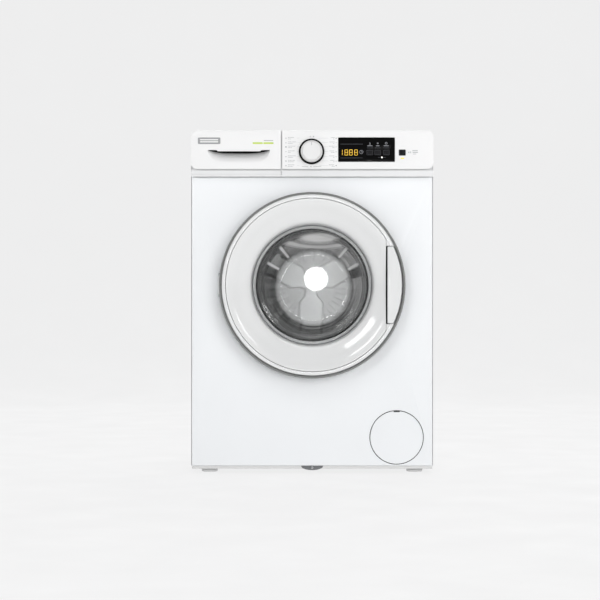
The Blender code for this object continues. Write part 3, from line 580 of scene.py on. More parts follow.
def bowl_reflections(shader, bowl):
    """Painted reflections: a light oval at the top with an arc round it, and two light bars on each side,
    standing in for lamps mirrored in the glass.
    """
    # The ribs are the painted light bars on each side.
    from_pair = shader.away(bowl.turn, math.radians(39))
    from_light_bar = shader.away(from_pair, math.radians(11))
    ribs = shader.fall(from_light_bar, math.radians(0.8), math.radians(2.6))
    middle_across, half_width = 0.014, 0.060
    middle_up, half_height = 0.124, 0.0135
    over = shader.maths("DIVIDE", shader.minus(bowl.across, middle_across), half_width)
    above = shader.maths("DIVIDE", shader.minus(bowl.up, middle_up), half_height)
    oval = shader.maths("SQRT", shader.plus(shader.maths("POWER", over, 2.0),
                                            shader.maths("POWER", above, 2.0)))
    halo_reflection = shader.ramp(shader.away(oval, 1.6), 0.1, 0.45, 0.8, 0.0)
    top_reflection = shader.times(shader.ramp(oval, 0.45, 1.05, 1.4, 0.0),
                         shader.ramp(bowl.along, -0.232, -0.222))
    return shader.maths("MAXIMUM", top_reflection, shader.times(bowl.wall, shader.maths("MAXIMUM", ribs, halo_reflection)))


def bowl_haze(shader, bowl, marks):
    """How milky the glass is: a little on its floor and flange, more at the painted reflections, and a
    painted light on the wall towards the upper right.
    """
    flange = shader.fall(bowl.along, -0.2430, -0.2415)
    haze = shader.plus(shader.times(bowl.floor, 0.22), shader.times(flange, 0.28))
    # The painted reflections are made milky so that they show pale, and the wall gets a painted light
    # towards the upper right.
    haze = shader.plus(haze, shader.times(marks, 0.55))
    right_top_light = shader.ramp(bowl.slant, -0.02, 0.12, 0.0, 0.2)
    return shader.plus(haze, shader.times(bowl.wall, right_top_light))


def bowl_colour(shader, bowl, marks):
    """The tint of the glass, painted with light and shade: a speckled band of painted shade, a painted dark
    line, painted darker side patches, a wall and floor painted lighter towards the upper right, and the
    painted reflections.
    """
    # Painted shade: a dark band with speckles, the drum's shaded holes seen through, darker towards the
    # lower left and lighter towards the upper right where the light falls.
    toward_light = shader.ramp(bowl.slant, -0.05, 0.17)
    band_shade_dark = shader.mixed(toward_light, grey(0.07), grey(0.3))
    band_shade_light = shader.mixed(toward_light, grey(0.34), grey(0.62))
    spots = shader.cells(210.0, "Distance")
    band_shade = shader.mixed(shader.ramp(spots, 0.25, 0.4), band_shade_dark, band_shade_light)
    # Painted light and shade: the wall lighter towards the upper right and darker towards the lower left,
    # the floor lighter towards the right.
    shaded = shader.mixed(shader.ramp(bowl.slant, -0.15, 0.12), grey(0.45), grey(0.97))
    lit_side = shader.plus(bowl.across, shader.times(bowl.up, 0.3))
    floor_light_tint = shader.mixed(shader.ramp(lit_side, -0.09, 0.09), (0.78, 0.79, 0.79), (0.99, 1.0, 1.0))
    plain = shader.main.inputs["Base Color"].links[0].from_socket
    sides = shader.minus(shader.ramp(bowl.along, -0.240, -0.230), bowl.floor)
    tint = shader.mixed(sides, shader.mixed(bowl.floor, plain, floor_light_tint), shaded)
    band = shader.within(bowl.along, (-0.240, -0.236), (-0.206, -0.198))
    tint = shader.mixed(band, tint, band_shade)
    # A painted dark ring line in the glass, as shade.
    line = shader.fall(shader.away(bowl.along, -0.192), 0.001, 0.004)
    tint = shader.mixed(line, tint, grey(0.03))
    # Painted shade: darker patches on the wall between the light bars on each side.
    from_shade_patch = shader.away(bowl.turn, math.radians(19))
    shade_patch = shader.fall(from_shade_patch, math.radians(5), math.radians(7))
    tint = shader.mixed(shader.times(bowl.wall, shade_patch), tint, grey(0.2))
    # The painted reflections are laid over all in near white.
    return shader.mixed(marks, tint, grey(0.93))


def let_lamps_through(shader, floor):
    """Lamp light passes the glass straight, less of it through the wall than through the floor."""
    shade = shader.mixed(floor, grey(0.5), grey(0.9))
    see_through = shader.add("ShaderNodeBsdfTransparent", Color=shade)
    lamp_rays = shader.add("ShaderNodeLightPath").outputs["Is Shadow Ray"]
    mix = shader.add("ShaderNodeMixShader")
    shader.links.new(lamp_rays, mix.inputs[0])
    shader.links.new(shader.main.outputs[0], mix.inputs[1])
    shader.links.new(see_through.outputs[0], mix.inputs[2])
    shader.links.new(mix.outputs[0], shader.output.inputs["Surface"])


def clear_glass(name, tint):
    """Clear pressed glass with a hazy floor and flange, painted reflections, a painted shade band and more
    painted light and shade.
    """
    shader = finish(name, tint, 0.015, tone=0.01, patches=9.0, grain=30.0, relief=0.0004)
    bowl = BowlPlaces(shader)
    # The marks are the painted reflections.
    marks = bowl_reflections(shader, bowl)
    shader.set("Transmission Weight", shader.minus(0.98, bowl_haze(shader, bowl, marks)))
    shader.set("Base Color", bowl_colour(shader, bowl, marks))
    shader.set("IOR", 1.47)
    let_lamps_through(shader, bowl.floor)
    return shader


def white(name, colour, roughness, relief, **changes):
    """A clean white surface, almost even in tone and gloss."""
    changes = {"tone": 0.004, "uneven": 0.03, **changes}
    return finish(name, colour, roughness, relief=relief, **changes).material


def black(name, colour, roughness, tone, relief):
    """A black moulding with a weak reflection."""
    shader = finish(name, colour, roughness, tone=tone, relief=relief)
    shader.set("Specular IOR Level", 0.18)
    return shader.material


def print_ink(name, colour, roughness=0.6):
    return finish(name, colour, roughness, tone=0.05, relief=0.01).material


ENAMEL = white("cabinet_enamel", (0.815, 0.83, 0.845), 0.32, 0.03, grain=420, tone=0.005)
FASCIA_WHITE = white("panel_white", grey(0.795), 0.32, 0.012)
# The panel's white painted darker, as shade on the strips set back under the slab and the drawer.
FASCIA_WHITE_SHADED = white("strip_white", (0.72, 0.725, 0.73), 0.4, 0.03, tone=0.005)
DOOR_WHITE = white("door_white", (0.71, 0.715, 0.715), 0.35, 0.006, coat=1.0)
KNOB_WHITE = white("knob_white", grey(0.73), 0.3, 0.012)
SOFT_WHITE = finish("light_plastic", (0.66, 0.66, 0.655), 0.42, tone=0.02, relief=0.05).material
RIM_GREY = finish("rim_grey", (0.17, 0.175, 0.17), 0.3, tone=0.08, coat=0.3).material
GLOSS_BLACK = black("gloss_black", grey(0.003), 0.1, 0.2, 0.004)
KEY_BLACK = black("key_black", (0.010, 0.010, 0.011), 0.28, 0.1, 0.02)
# Black for the knob's foot ring, and painted shade where it fills the drawer pocket, the handle gap and the
# filter's gap and notch.
BLACK_AND_PAINTED_SHADE = black("black_and_painted_shade", grey(0.004), 0.6, 0.2, 0.05)
MOULDED_GREY = speckled("grey_plastic", (0.16, 0.165, 0.17), 0.55, 900.0, 0.06, 0.05).material
TAB_GREY = speckled("tab_grey", (0.15, 0.155, 0.16), 0.5, 700.0, 0.08, 0.05).material
ZINC = spangled("zinc_steel", (0.60, 0.61, 0.62), 0.38).material
STAINLESS = finish("stainless", (0.60, 0.605, 0.60), 0.24, metal=1.0, tone=0.05,
                   stretch=(1, 0.03, 1), grain=1600, relief=0.02).material
BACK_STEEL = drum_steel("drum_back_steel", (0.66, 0.665, 0.66), 0.42,
                        holes=(0.134, 0.152), depths=(0.1445, 0.1345)).material
CAST = speckled("aluminium", (0.50, 0.50, 0.505), 0.5, 500.0, 0.08, 0.12, metal=1.0).material
SEAL_RUBBER = finish("gasket_rubber", (0.10, 0.105, 0.11), 0.6, tone=0.06, relief=0.06).material
BLACK_RUBBER = finish("black_rubber", grey(0.018), 0.7, tone=0.15, relief=0.08).material
CONCRETE = speckled("concrete", (0.36, 0.355, 0.34), 0.92, 240.0, 0.3, 0.5).material
GLASS = clear_glass("door_glass", (0.93, 0.945, 0.945)).material
INK = print_ink("print_grey", (0.36, 0.37, 0.38))
INK_PALE = print_ink("print_pale", (0.50, 0.51, 0.52))
BADGE = finish("badge_grey", (0.33, 0.335, 0.34), 0.35, metal=0.3, relief=0.02).material
GREEN_INK = print_ink("print_green", (0.52, 0.66, 0.12), 0.55)
SCREEN_PRINT = print_ink("screen_print", (0.22, 0.225, 0.24), 0.5)
SCREEN_LINE = print_ink("screen_line", (0.035, 0.037, 0.044), 0.5)
AMBER = glowing("amber_lamp", (1.0, 0.60, 0.05), 0.48).material
WHITE_LAMP = glowing("white_lamp", (1.0, 1.0, 0.95), 0.9).material


# ---------------------------------------------------------------- cabinet


def front_panel():
    """The enamelled front sheet with a rolled lip round the door mouth and the filter's recess."""
    edge = HALF_WIDTH - 1.6
    sheet = block((-edge, edge), (PANEL_Y, PANEL_Y + 1.3), (17.8, 730.2))
    through = (PANEL_Y - 3, PANEL_Y + 4)
    mouth = prism(circle((0, AXIS_Z), 158, 120), "Y", *through)
    recess = prism(circle(FILTER, 66.9, 128), "Y", *through)
    latch_slot = plate((185, 219), about(AXIS_Z, 10), through, 3)
    lug_slots = [plate((-232, -224), about(AXIS_Z + side * 26, 3.5), through, 1.5) for side in (-1, 1)]
    cut_sheet = softened(cut(sheet, mouth, recess, latch_slot, *lug_slots), 0.6)
    lip = lathe([(158, -225.8), (158.4, -226.6), (160, -226.9), (162, -226.3), (163, -225.6)])
    recess_wall = tube(66.5, 68, -223.6, -219.2, FILTER, steps=96)
    piece("front_panel_skin", together(cut_sheet, lip, recess_wall), ENAMEL,
          stands_for=["front_panel"])
    # Painted shade: a black ring at the bottom of the gap round the filter cover, so that the gap reads
    # dark.
    seal = tube(65.4, 67.6, -225.7, -223.7, FILTER, steps=128)
    piece("filter_gap_shade", seal, BLACK_AND_PAINTED_SHADE)


def side_panels():
    for name, side in (("left_side_panel", -1), ("right_side_panel", 1)):
        side_panel(name, side)


def side_panel(name, side):
    """A side sheet with a shallow pressed field, folded flanges and the spring's tab."""
    outer = side * (HALF_WIDTH - 0.2)
    front, rear = -224.4, 249.4
    field = (-175, 205, 95, 745)

    def pressed(y, z):
        return -side * 3.0 * eased(inside_rounded(y, z, field, 26) / 9)

    sheet = pressed_sheet("X", [(front, rear), (18, 828.4)], outer, -side * 1.0, pressed, 4.5)
    lip = side * (HALF_WIDTH - 10)
    flanges = [block(sorted((lip, outer)), ys, (18.5, 828)) for ys in ((front, front + 1), (rear - 1, rear))]
    tab = block(sorted((side * 246, side * 297.4)), about(SPRING_Y, 14), (786.5, 790))
    piece(name + "_skin", together(sheet, *flanges, softened(tab, 0.8)), ENAMEL,
          stands_for=[name])


def rear_holes():
    """The openings of the rear sheet: belt access, water inlet, drain and mains."""
    through = about(REAR_Y, 4)
    round_holes = [prism(circle(centre, radius), "Y", *through)
                   for centre, radius in ((INLET, 15), (DRAIN, 14), (MAINS, 9))]
    return [plate((-150, 150), (100, 615), through, [60, 60, 140, 140], 16), *round_holes]


def screw_head(x, z, y, facing=1, radius=4.6):
    """A domed screw head with a cross recess, standing out of the surface at y."""
    profile = [(0, 0), (radius, 0), (radius, 0.7), (radius * 0.86, 1.7), (radius * 0.5, 2.4), (0, 2.6)]
    head = lathe([(r, y + facing * height) for r, height in profile], (x, z), steps=28)
    outer = sorted((y + facing * 1.3, y + facing * 4))
    slots = [block((x - 2.4, x + 2.4), outer, (z - 0.55, z + 0.55)),
             block((x - 0.55, x + 0.55), outer, (z - 2.4, z + 2.4))]
    return cut(head, *slots)


def rear_panel():
    """The zinc coated rear sheet with its stiffening beads and screws."""
    sheet = block((-298, 298), (REAR_Y - 1, REAR_Y), (18, 828.5))
    sheet = softened(cut(sheet, *rear_holes()), 0.3, 2)
    proud = (REAR_Y - 0.2, REAR_Y + 2.4)
    beads = [softened(plate(about(x, 7), (120, 640), proud, 6.9), 2.2, 4) for x in (-245, -205, 245)]
    beads.append(softened(plate((-150, 190), (652, 668), proud, 7.9), 2.2, 4))
    screws = [screw_head(x, z, REAR_Y) for x in (-289, 289) for z in (60, 300, 560, 800)]
    screws += [screw_head(x, 40, REAR_Y) for x in (-120, 120)]
    piece("rear_panel_skin", together(sheet, *beads, *screws), ZINC,
          stands_for=["rear_panel"])


def rear_access_cover():
    """The pressed cover over the belt drive: a flat rim, a raised field and curved beads."""
    rim = plate((-165, 165), (85, 630), (REAR_Y + 0.6, REAR_Y + 2.0), [70, 70, 150, 150], 20)
    field = plate((-146, 146), (104, 611), (REAR_Y + 1.8, REAR_Y + 6.2), [56, 56, 136, 136], 20)
    shapes = [softened(rim, 0.5), softened(field, 2.6, 5)]
    for radius in (60, 100, 134):
        bead = [(-5, 256.6), (-3, 258.2), (0, 258.8), (3, 258.2), (5, 256.6)]
        shapes.append(lathe([(radius + across, y) for across, y in bead], (0, 400), steps=96))
    places = [(-152, 190), (152, 190), (-152, 430), (152, 430), (-60, 95), (60, 95), (0, 620)]
    shapes += [screw_head(x, z, REAR_Y + 1.9) for x, z in places]
    piece("rear_cover_skin", together(*shapes), ZINC, stands_for=["rear_access_cover"])


def worktop():
    """The lid board with rounded side edges and a fine groove near its front and back."""
    profile = rounded(-HALF_WIDTH, HALF_WIDTH, 829, HEIGHT, [1, 1, 14, 14], 10)
    board = softened(prism(profile, "Y", PANEL_Y + 0.2, REAR_Y - 0.2), 1.2, 3, 50)
    grooves = [block((-400, 400), about(y, 0.4), (HEIGHT - 0.5, HEIGHT + 3)) for y in (-214, 239)]
    piece("worktop_board", cut(board, *grooves), FASCIA_WHITE, stands_for=["worktop"])


def base_frame():
    """The moulded floor tray with its hem, ribs and the half round tab in front."""
    tray = block((-296.5, 296.5), (-214, 247.5), (10, 30))
    tray = cut(tray, block((-292.5, 292.5), (-210, 243.5), (13, 32)))
    bosses = [block(about(x, 16), about(y, 16), (11, 28)) for x in FOOT_XS for y in FOOT_YS]
    holes = [prism(circle((x, y), 5.6, 32), "Z", 0, 60) for x in FOOT_XS for y in FOOT_YS]
    ribs = [block((-290, 290), about(y, 1), (12, 24)) for y in (-120, -40, 40, 120)]
    piece("base_tray", softened(cut(join(tray, *bosses, *ribs), *holes), 0.8, 2), MOULDED_GREY,
          stands_for=["base_frame"])
    hem = softened(block((-296.5, 296.5), (-225.4, -213), (10, 17.4)), 0.8)
    piece("base_hem", hem, SOFT_WHITE)
    half_oval = [(27 * math.cos(math.radians(t)), 17.3 + 10.6 * math.sin(math.radians(t)))
                 for t in range(180, 361, 6)]
    tab = prism(half_oval, "Y", -227.3, -224.6)
    piece("front_tab", softened(tab, 0.7), TAB_GREY)
    piece("front_tab_screw", screw_head(0, 13, -227.2, -1, 3.4), ZINC)


def feet():
    """Four screw feet: a wide pad on a threaded stud."""
    pad = [(0, 0), (17.5, 0), (19.4, 0.8), (20, 2.4), (20, 6.2), (18.5, 7.8), (13, 9.4), (0, 9.5)]
    treads = [(6.0 if i % 2 else 4.9, 9.5 + i * 0.9) for i in range(38)]
    stud = [(0, 9.4), *treads, (0, treads[-1][1])]
    for x, side in zip(FOOT_XS, ("left", "right")):
        for y, end in zip(FOOT_YS, ("front", "rear")):
            node = "foot_" + end + "_" + side
            shape = together(lathe(pad, (x, y), "Z", 48), lathe(stud, (x, y), "Z", 24))
            piece(node + "_pad", shape, SOFT_WHITE, node + "_body", [node])


# ---------------------------------------------------------------- control fascia


def fascia():
    """The white control panel: a slab with rounded outer corners over a set back strip."""
    slab = plate((SEAM_X[1], HALF_WIDTH), (SLAB_BOTTOM, HEIGHT), (FASCIA_Y, FASCIA_BACK),
                 [0, SLAB_CORNER, SLAB_CORNER, 0], 14)
    hollow = block((-70, 295), (-237, -224), (753, 831))
    x, z = DISPLAY
    through = (FASCIA_Y - 6, FASCIA_Y + 20)
    openings = [plate(about(x, 70), about(z, 30.2), through, 2),
                prism(circle(KNOB, 6), "Y", *through),
                plate(about(START_X, 8.6), about(KEY_Z, 7.6), through, 2),
                plate((217.4, 226.6), (774.4, 777.4), through, 1.2)]
    slab = softened(cut(slab, hollow, *openings), 0.9, 4)
    piece("fascia_slab", slab, FASCIA_WHITE, stands_for=["control_panel"])
    front_strip = block((SEAM_X[1], HALF_WIDTH), (STRIP_Y, FASCIA_BACK), (730.8, 746.4))
    under_drawer = block((-HALF_WIDTH, SEAM_X[1] + 1), (STRIP_Y, FASCIA_BACK), (730.8, 735.9))
    groove_back = block((SEAM_X[1], HALF_WIDTH - 2), (-231, FASCIA_BACK), (745, 752))
    seam_back = block((SEAM_X[0] + 0.2, SEAM_X[1] + 3), (-231.5, FASCIA_BACK), (737.6, 842))
    strip = together(softened(join(front_strip, under_drawer), 0.7), groove_back, seam_back)
    # The strip is painted darker than the slab, as the shade under it.
    piece("fascia_strip", strip, FASCIA_WHITE_SHADED)
    lamp = plate((217.6, 226.4), (774.6, 777.2), (-239.6, -236), 1.1)
    piece("start_lamp", softened(lamp, 0.3), AMBER)


def printed(outlines, look, name, y=FASCIA_Y, body="cabinet"):
    """Print of a hair's thickness: each outline as a thin layer on the surface at y."""
    layers = [prism(outline, "Y", y - 0.06, y + 0.05) for outline in outlines]
    return piece(name, together(*layers), look, body)


def bar(low_x, high_x, z, height=1.2):
    return rounded(low_x, high_x, z - height / 2, z + height / 2, height * 0.3, 2)


def post(x, low_z, high_z, width, corner=0.2):
    return rounded(x - width / 2, x + width / 2, low_z, high_z, corner, 1)


def wording(low_x, high_x, z, chance, height=1.2):
    """A row of short dashes where a word was, with gaps at uneven places."""
    dashes = []
    at = low_x
    while high_x - at > 0.8:
        end = min(high_x, at + chance.uniform(1.6, 4.4))
        dashes.append(bar(at, end, z, height))
        at = end + 0.6
    return dashes


def ring_marks(centre, radius, width, pieces=24):
    """A printed ring, as short four-sided parts."""
    marks = []
    for i in range(pieces):
        start, end = 360 * i / pieces, 360 * (i + 1) / pieces
        marks.append(arc(centre, radius, start, end, 1) + arc(centre, radius - width, end, start, 1))
    return marks


def symbol(kind, x, z, size):
    """A small generic pictogram: ring, square, drop, star, bars or cross."""
    half = size / 2
    if kind == "ring":
        return ring_marks((x, z), half, size * 0.22, 12)
    if kind == "square":
        return [rounded(x - half, x + half, z - half, z + half, size * 0.2, 2)]
    if kind == "drop":
        return [[*arc((x, z - half * 0.25), half * 0.72, 150, 390, 10), (x, z + half)]]
    if kind == "star":
        reaches = [half if i % 2 else half * 0.4 for i in range(12)]
        return [[(x + reach * math.cos(math.pi * i / 6), z + reach * math.sin(math.pi * i / 6))
                 for i, reach in enumerate(reaches)]]
    if kind == "bars":
        return [bar(x - half, x + half, z + step * size * 0.36, size * 0.2) for step in (-1, 0, 1)]
    return [bar(x - half, x + half, z, size * 0.28), post(x, z - half, z + half, size * 0.28, 0.1)]


def program_labels():
    """The ring of programs round the knob, with bars in place of every word."""
    chance = random.Random(7)
    kinds = ["ring", "drop", "square", "star", "cross", "bars"]
    rows = (825.1, 814.2, 803.9, 792.2, 779.9, 769.0, 757.9)
    left, right = -59.7, 55.2
    words, lines = [], []
    for row, z in enumerate(rows):
        from_middle = abs(row - 3)
        words += symbol(kinds[row % 6], left - 4.9, z, 3.4)
        first = chance.uniform(12, 22)
        second = chance.uniform(6, 17)
        words += wording(left, left + first, z + 1.9, chance)
        words += wording(left, left + second, z - 1.7, chance)
        lines.append(bar(-37.4 + max(0, first - 20), -24 - 2.6 * from_middle, z + 0.4, 0.5))
        words += wording(right - chance.uniform(9, 15), right, z + 1.8, chance)
        words += wording(right - chance.uniform(3, 9), right, z - 1.8, chance)
        words += symbol(kinds[(row + 2) % 6], right + 3.7, z, 2.8)
        lines.append(bar(16.4 + 2.6 * (3 - from_middle), 39.1, z + 0.4, 0.5))
    above, below = 829.6, 755.6
    words += symbol("ring", -4.4, above, 3.2) + symbol("square", 3.4, above, 2.6)
    words += wording(-25, -9, below, chance) + wording(3, 22, below, chance)
    words += symbol("drop", -3, below, 3.4)
    printed(words, INK, "program_marks")
    printed(lines, INK_PALE, "program_lines")


def seven_segments(x, z, lit):
    """The lit bars of one digit.

    They are numbered top, upper right, lower right, bottom, lower left, upper left and middle.
    """
    half_w, half_h, t = 4.0, 7.1, 0.475

    left, right = x - half_w + t, x + half_w - t
    gap = 0.25
    upper = (z + gap, z + half_h - t - gap)
    lower = (z - half_h + t + gap, z - gap)

    def level(at_z):
        return [(left, at_z), (left + t, at_z + t), (right - t, at_z + t),
                (right, at_z), (right - t, at_z - t), (left + t, at_z - t)]

    def upright(at_x, low, high):
        return [(at_x, low), (at_x + t, low + t), (at_x + t, high - t),
                (at_x, high), (at_x - t, high - t), (at_x - t, low + t)]

    shapes = [level(z + half_h - t), upright(right, *upper), upright(right, *lower),
              level(z - half_h + t), upright(left, *lower), upright(left, *upper), level(z)]
    return [shapes[i] for i in lit]


def display():
    """The dark window with its lit digits, the clock sign and the prints above the keys."""
    x, z = DISPLAY
    glass = plate(about(x, 69.6), about(z, 29.8), (FASCIA_Y - 0.6, -237.4), 2.2)
    key_holes = [plate(about(at, 8.5), about(KEY_Z, 6.7), (-246, -230), 1.6, 4) for at in OPTION_XS]
    window = softened(cut(glass, *key_holes), 0.35)
    piece("display_glass", window, GLOSS_BLACK, stands_for=["display_window"])
    front = FASCIA_Y - 0.62
    digits = seven_segments(70.6, KEY_Z + 0.2, (1, 2))
    for at in (84.0, 95.2, 107.8):
        digits += seven_segments(at, KEY_Z + 0.2, range(7))
    printed(digits, AMBER, "display_digits", front)
    clock_x, clock_z = 120.9, 791.3
    clock = ring_marks((clock_x, clock_z), 4.8, 1.1)
    clock += [post(clock_x, clock_z - 0.3, clock_z + 3.1, 1.0),
              rounded(clock_x, clock_x + 2.5, clock_z - 0.8, clock_z + 0.2, 0.2, 1)]
    first, second, third = OPTION_XS
    signs = [bar(first - 1.3, first + 1.3, 812.6, 6.0), *symbol("ring", first, 809.8, 3.6),
             *symbol("star", second, 812.8, 6.4), *symbol("ring", third, 813, 6.2)]
    signs += [bar(*about(at, half), 806.6, 1.9) for at, half in zip(OPTION_XS, (6.5, 4.5, 6))]
    printed(clock + signs, SCREEN_PRINT, "display_signs", front)
    faint = [bar(69.3, 124.6, line_z) for line_z in (810.8, 776.7)]
    faint += [bar(*about(at, 7), 801.5) for at in OPTION_XS]
    faint += [bar(low, low + 6.4, 778) for low in (162, 174.6)]
    printed(faint, SCREEN_LINE, "display_lines", front)
    printed([rounded(170, 173, 776.3, 779.7, 0.5, 2)], WHITE_LAMP, "display_lamp", front)


def key(node, body, x, half_x, half_z):
    """A push key with softened edges and a thin frame printed on it."""
    front = FASCIA_Y - 1
    cap = softened(plate(about(x, half_x), about(KEY_Z, half_z), (front, -233), 1.5), 0.5)
    piece(node + "_cap", cap, KEY_BLACK, body, [node])
    line = 0.7
    inset_x, inset_z = half_x - 1.0, half_z - 1.0
    edges = [bar(*about(x, inset_x), at, line) for at in about(KEY_Z, inset_z)]
    edges += [post(at, *about(KEY_Z, inset_z), line) for at in about(x, inset_x)]
    printed(edges, SCREEN_LINE, node + "_frame", front, body)


def keys():
    for number, x in enumerate(OPTION_XS, 1):
        key("option_key_" + str(number), "option_button_" + str(number), x, 8.1, 6.3)
    key("start_key", "start_button", START_X, 8.2, 7.2)
    low, high = 788.4, 792.8
    play = [[(236.6, low), (236.6, high), (239.6, (low + high) / 2)]]
    play += [rounded(left, left + 1.1, low, high, 0.2, 1) for left in (240.6, 242.4)]
    words = [bar(246.4, 259.6, 794.6, 2.0), bar(247.2, 260.2, 790.4, 2.0), bar(248, 256, 786.4, 1.4)]
    printed(play + words, INK, "start_marks")


def knob():
    """The program knob: black foot ring, white skirt, a fine groove and a pointer line."""
    x, z = KNOB
    ring = [(26.8, -240.6), (31.0, -240.6), (31.6, -241.4), (31.6, -243.0), (31.0, -244.2), (29.6, -245.0),
            (27.6, -245.2), (26.8, -244.4)]
    piece("knob_ring", lathe(ring, KNOB, steps=120), BLACK_AND_PAINTED_SHADE, "knob")
    grip = [(0, -231), (3, -231), (3, -240.7), (26.9, -240.7), (27.0, -244.6), (26.8, -251), (26.3, -255.5),
            (25.4, -257.6), (24.0, -258.6), (23.5, -258.4), (23.2, -256.4), (22.2, -256.2), (21.9, -258.3),
            (21.4, -258.7), (12, -259.0), (0, -259.0)]
    body = lathe(grip, KNOB, steps=120)
    piece("knob_grip", body, KNOB_WHITE, "knob", ["program_knob"])
    pointer = rounded(x - 0.6, x + 0.6, z + 14.0, z + 21.2, 0.4, 3)
    printed([pointer], INK, "knob_pointer", -259.0, "knob")


# ---------------------------------------------------------------- detergent drawer


def pocket_edge(u):
    """Height of the drawer pocket's lower rim, u running from minus one to one across it."""
    return 766.0 + 24.0 * abs(u) ** 7


def drawer_front():
    """The drawer's face with its finger pocket: a scoop that dips behind a straight upper rim."""
    slab = plate((-HALF_WIDTH, SEAM_X[0]), (SLAB_BOTTOM, HEIGHT), (FASCIA_Y, FASCIA_BACK),
                 [SLAB_CORNER, 0, 0, SLAB_CORNER], 14)
    centre, half = -180.5, 76.5
    steps = 40
    across = [-1 + 2 * i / steps for i in range(steps + 1)]
    rim = [(centre + half * u, pocket_edge(u)) for u in across]
    tongue = [(half, 796.6), (56, 796.4), (52, 793.4), (-52, 793.4), (-56, 796.4), (-half, 796.6)]
    tongue = [(centre + aside, z) for aside, z in tongue]
    mouth = prism(rim + tongue, "Y", FASCIA_Y - 6, FASCIA_Y + 20)
    hollow = block((-295, -82), (-235.5, -224), (754, 830))
    piece("drawer_slab", softened(cut(slab, mouth, hollow), 0.8, 4), FASCIA_WHITE, "drawer",
          ["drawer_front"])
    strip = block((-HALF_WIDTH, SEAM_X[0]), (STRIP_Y, FASCIA_BACK), (736.0, 746.4))
    groove_back = block((-HALF_WIDTH + 2, SEAM_X[0]), (-231, FASCIA_BACK), (745, 753))
    strip = together(softened(strip, 0.7), groove_back)
    # The strip is painted darker than the slab, as the shade under it.
    piece("drawer_strip", strip, FASCIA_WHITE_SHADED, "drawer")
    scoop = pocket_scoop(centre, half, across)
    piece("drawer_scoop", scoop, FASCIA_WHITE, "drawer")
    # Painted shade: a black box behind the pocket's slot, so that the slot reads dark.
    pocket_shade = block((-262, -99), (-236.5, -212), (763, 806))
    pocket_shade = softened(cut(pocket_shade, block((-260, -101), (-240, -214), (765, 804))), 0.6)
    piece("drawer_pocket_shade", pocket_shade, BLACK_AND_PAINTED_SHADE, "drawer")


def pocket_scoop(centre, half, across):
    """The curved floor of the pocket, from its lower rim in and up to the slot at its top."""
    rows = 16
    bm = bmesh.new()
    place = PLACE["Y"]
    layers = []
    for thickness in (0, 1.4):
        grid = []
        for u in across:
            low = pocket_edge(u)
            high = max(low + 0.6, 789.6 + 6.4 * abs(u) ** 3)
            depth = 24.0 * (1 - 0.9 * abs(u) ** 6)
            column = []
            for j in range(rows + 1):
                v = j / rows
                y = -239.2 + depth * v ** 1.35 + thickness
                column.append(bm.verts.new(place(centre + half * u, low + (high - low) * v, y)))
            grid.append(column)
        layers.append(grid)
    return sheet_between(bm, layers)


def drawer_marks():
    """A badge with two plain stripes, and three plain bars where the drawer carries print."""
    badge_front = FASCIA_Y - 0.5
    badge = softened(plate((-281.5, -226), (811, 827), (badge_front, -239.6), 2.6), 0.3)
    piece("drawer_badge", badge, BADGE, "drawer")
    stripes = [bar(-276, -231.5, z, 3.0) for z in about(819, 2.6)]
    printed(stripes, FASCIA_WHITE, "drawer_badge_lines", badge_front, "drawer")
    printed([bar(-119, -96, 819.6, 1.8)], INK, "drawer_grey_mark", body="drawer")
    green = [bar(-146.6, -121.6, 813.2, 4.4), bar(-120.2, -95, 813.2, 4.4)]
    printed(green, GREEN_INK, "drawer_green_mark", body="drawer")


def drawer_tray():
    """The detergent tray with its three rounded compartments."""
    tray = block((-286, -88), (-211, 25), (753, 826))
    wall = 1.2
    edges = [-286 + wall, -212, -162, -88 - wall]
    wells = []
    for low, high in zip(edges, edges[1:]):
        well = prism(rounded(low + wall, high - wall, -208.6, 22.6, 9), "Z", 755.4, 840)
        wells.append(softened(well, 2.5, 3, 60))
    tray = softened(cut(tray, *wells), 0.7, 2)
    piece("drawer_tray_shell", tray, SOFT_WHITE, "drawer", ["drawer_tray"])


# ---------------------------------------------------------------- door


def door_rim():
    """The dark ring round the door, notched behind its front for the hinge."""
    profile = [(229, -231.4), (229, -254), (228.7, -257), (227.8, -259.6), (226.3, -261.6),
               (224.8, -262.6), (223.6, -262.6), (223.2, -261.6), (223.2, -259.5), (225.4, -258),
               (226.2, -254), (226.2, -231.4)]
    notch = block((-240, -219), (-252, -220), about(AXIS_Z, 31))
    ring = cut(lathe(profile, (0, AXIS_Z - 0.8), steps=DOOR_ROUND), notch)
    piece("door_rim_ring", ring, RIM_GREY, "door", ["door_rim"])


def door_frame_ribs():
    """Radial ribs behind the door's cover, but none at the handle's recess."""
    ribs = []
    for i in range(36):
        turn = math.radians(10 * i + 5)
        outline = [(160, -0.8), (214, -0.8), (214, 0.8), (160, 0.8)]
        turned = [(a * math.cos(turn) - b * math.sin(turn),
                   AXIS_Z + a * math.sin(turn) + b * math.cos(turn)) for a, b in outline]
        if abs(turned[1][1] - AXIS_Z) > 110 or turned[1][0] < 0:
            ribs.append(prism(turned, "Y", -236, -231.8))
    return ribs


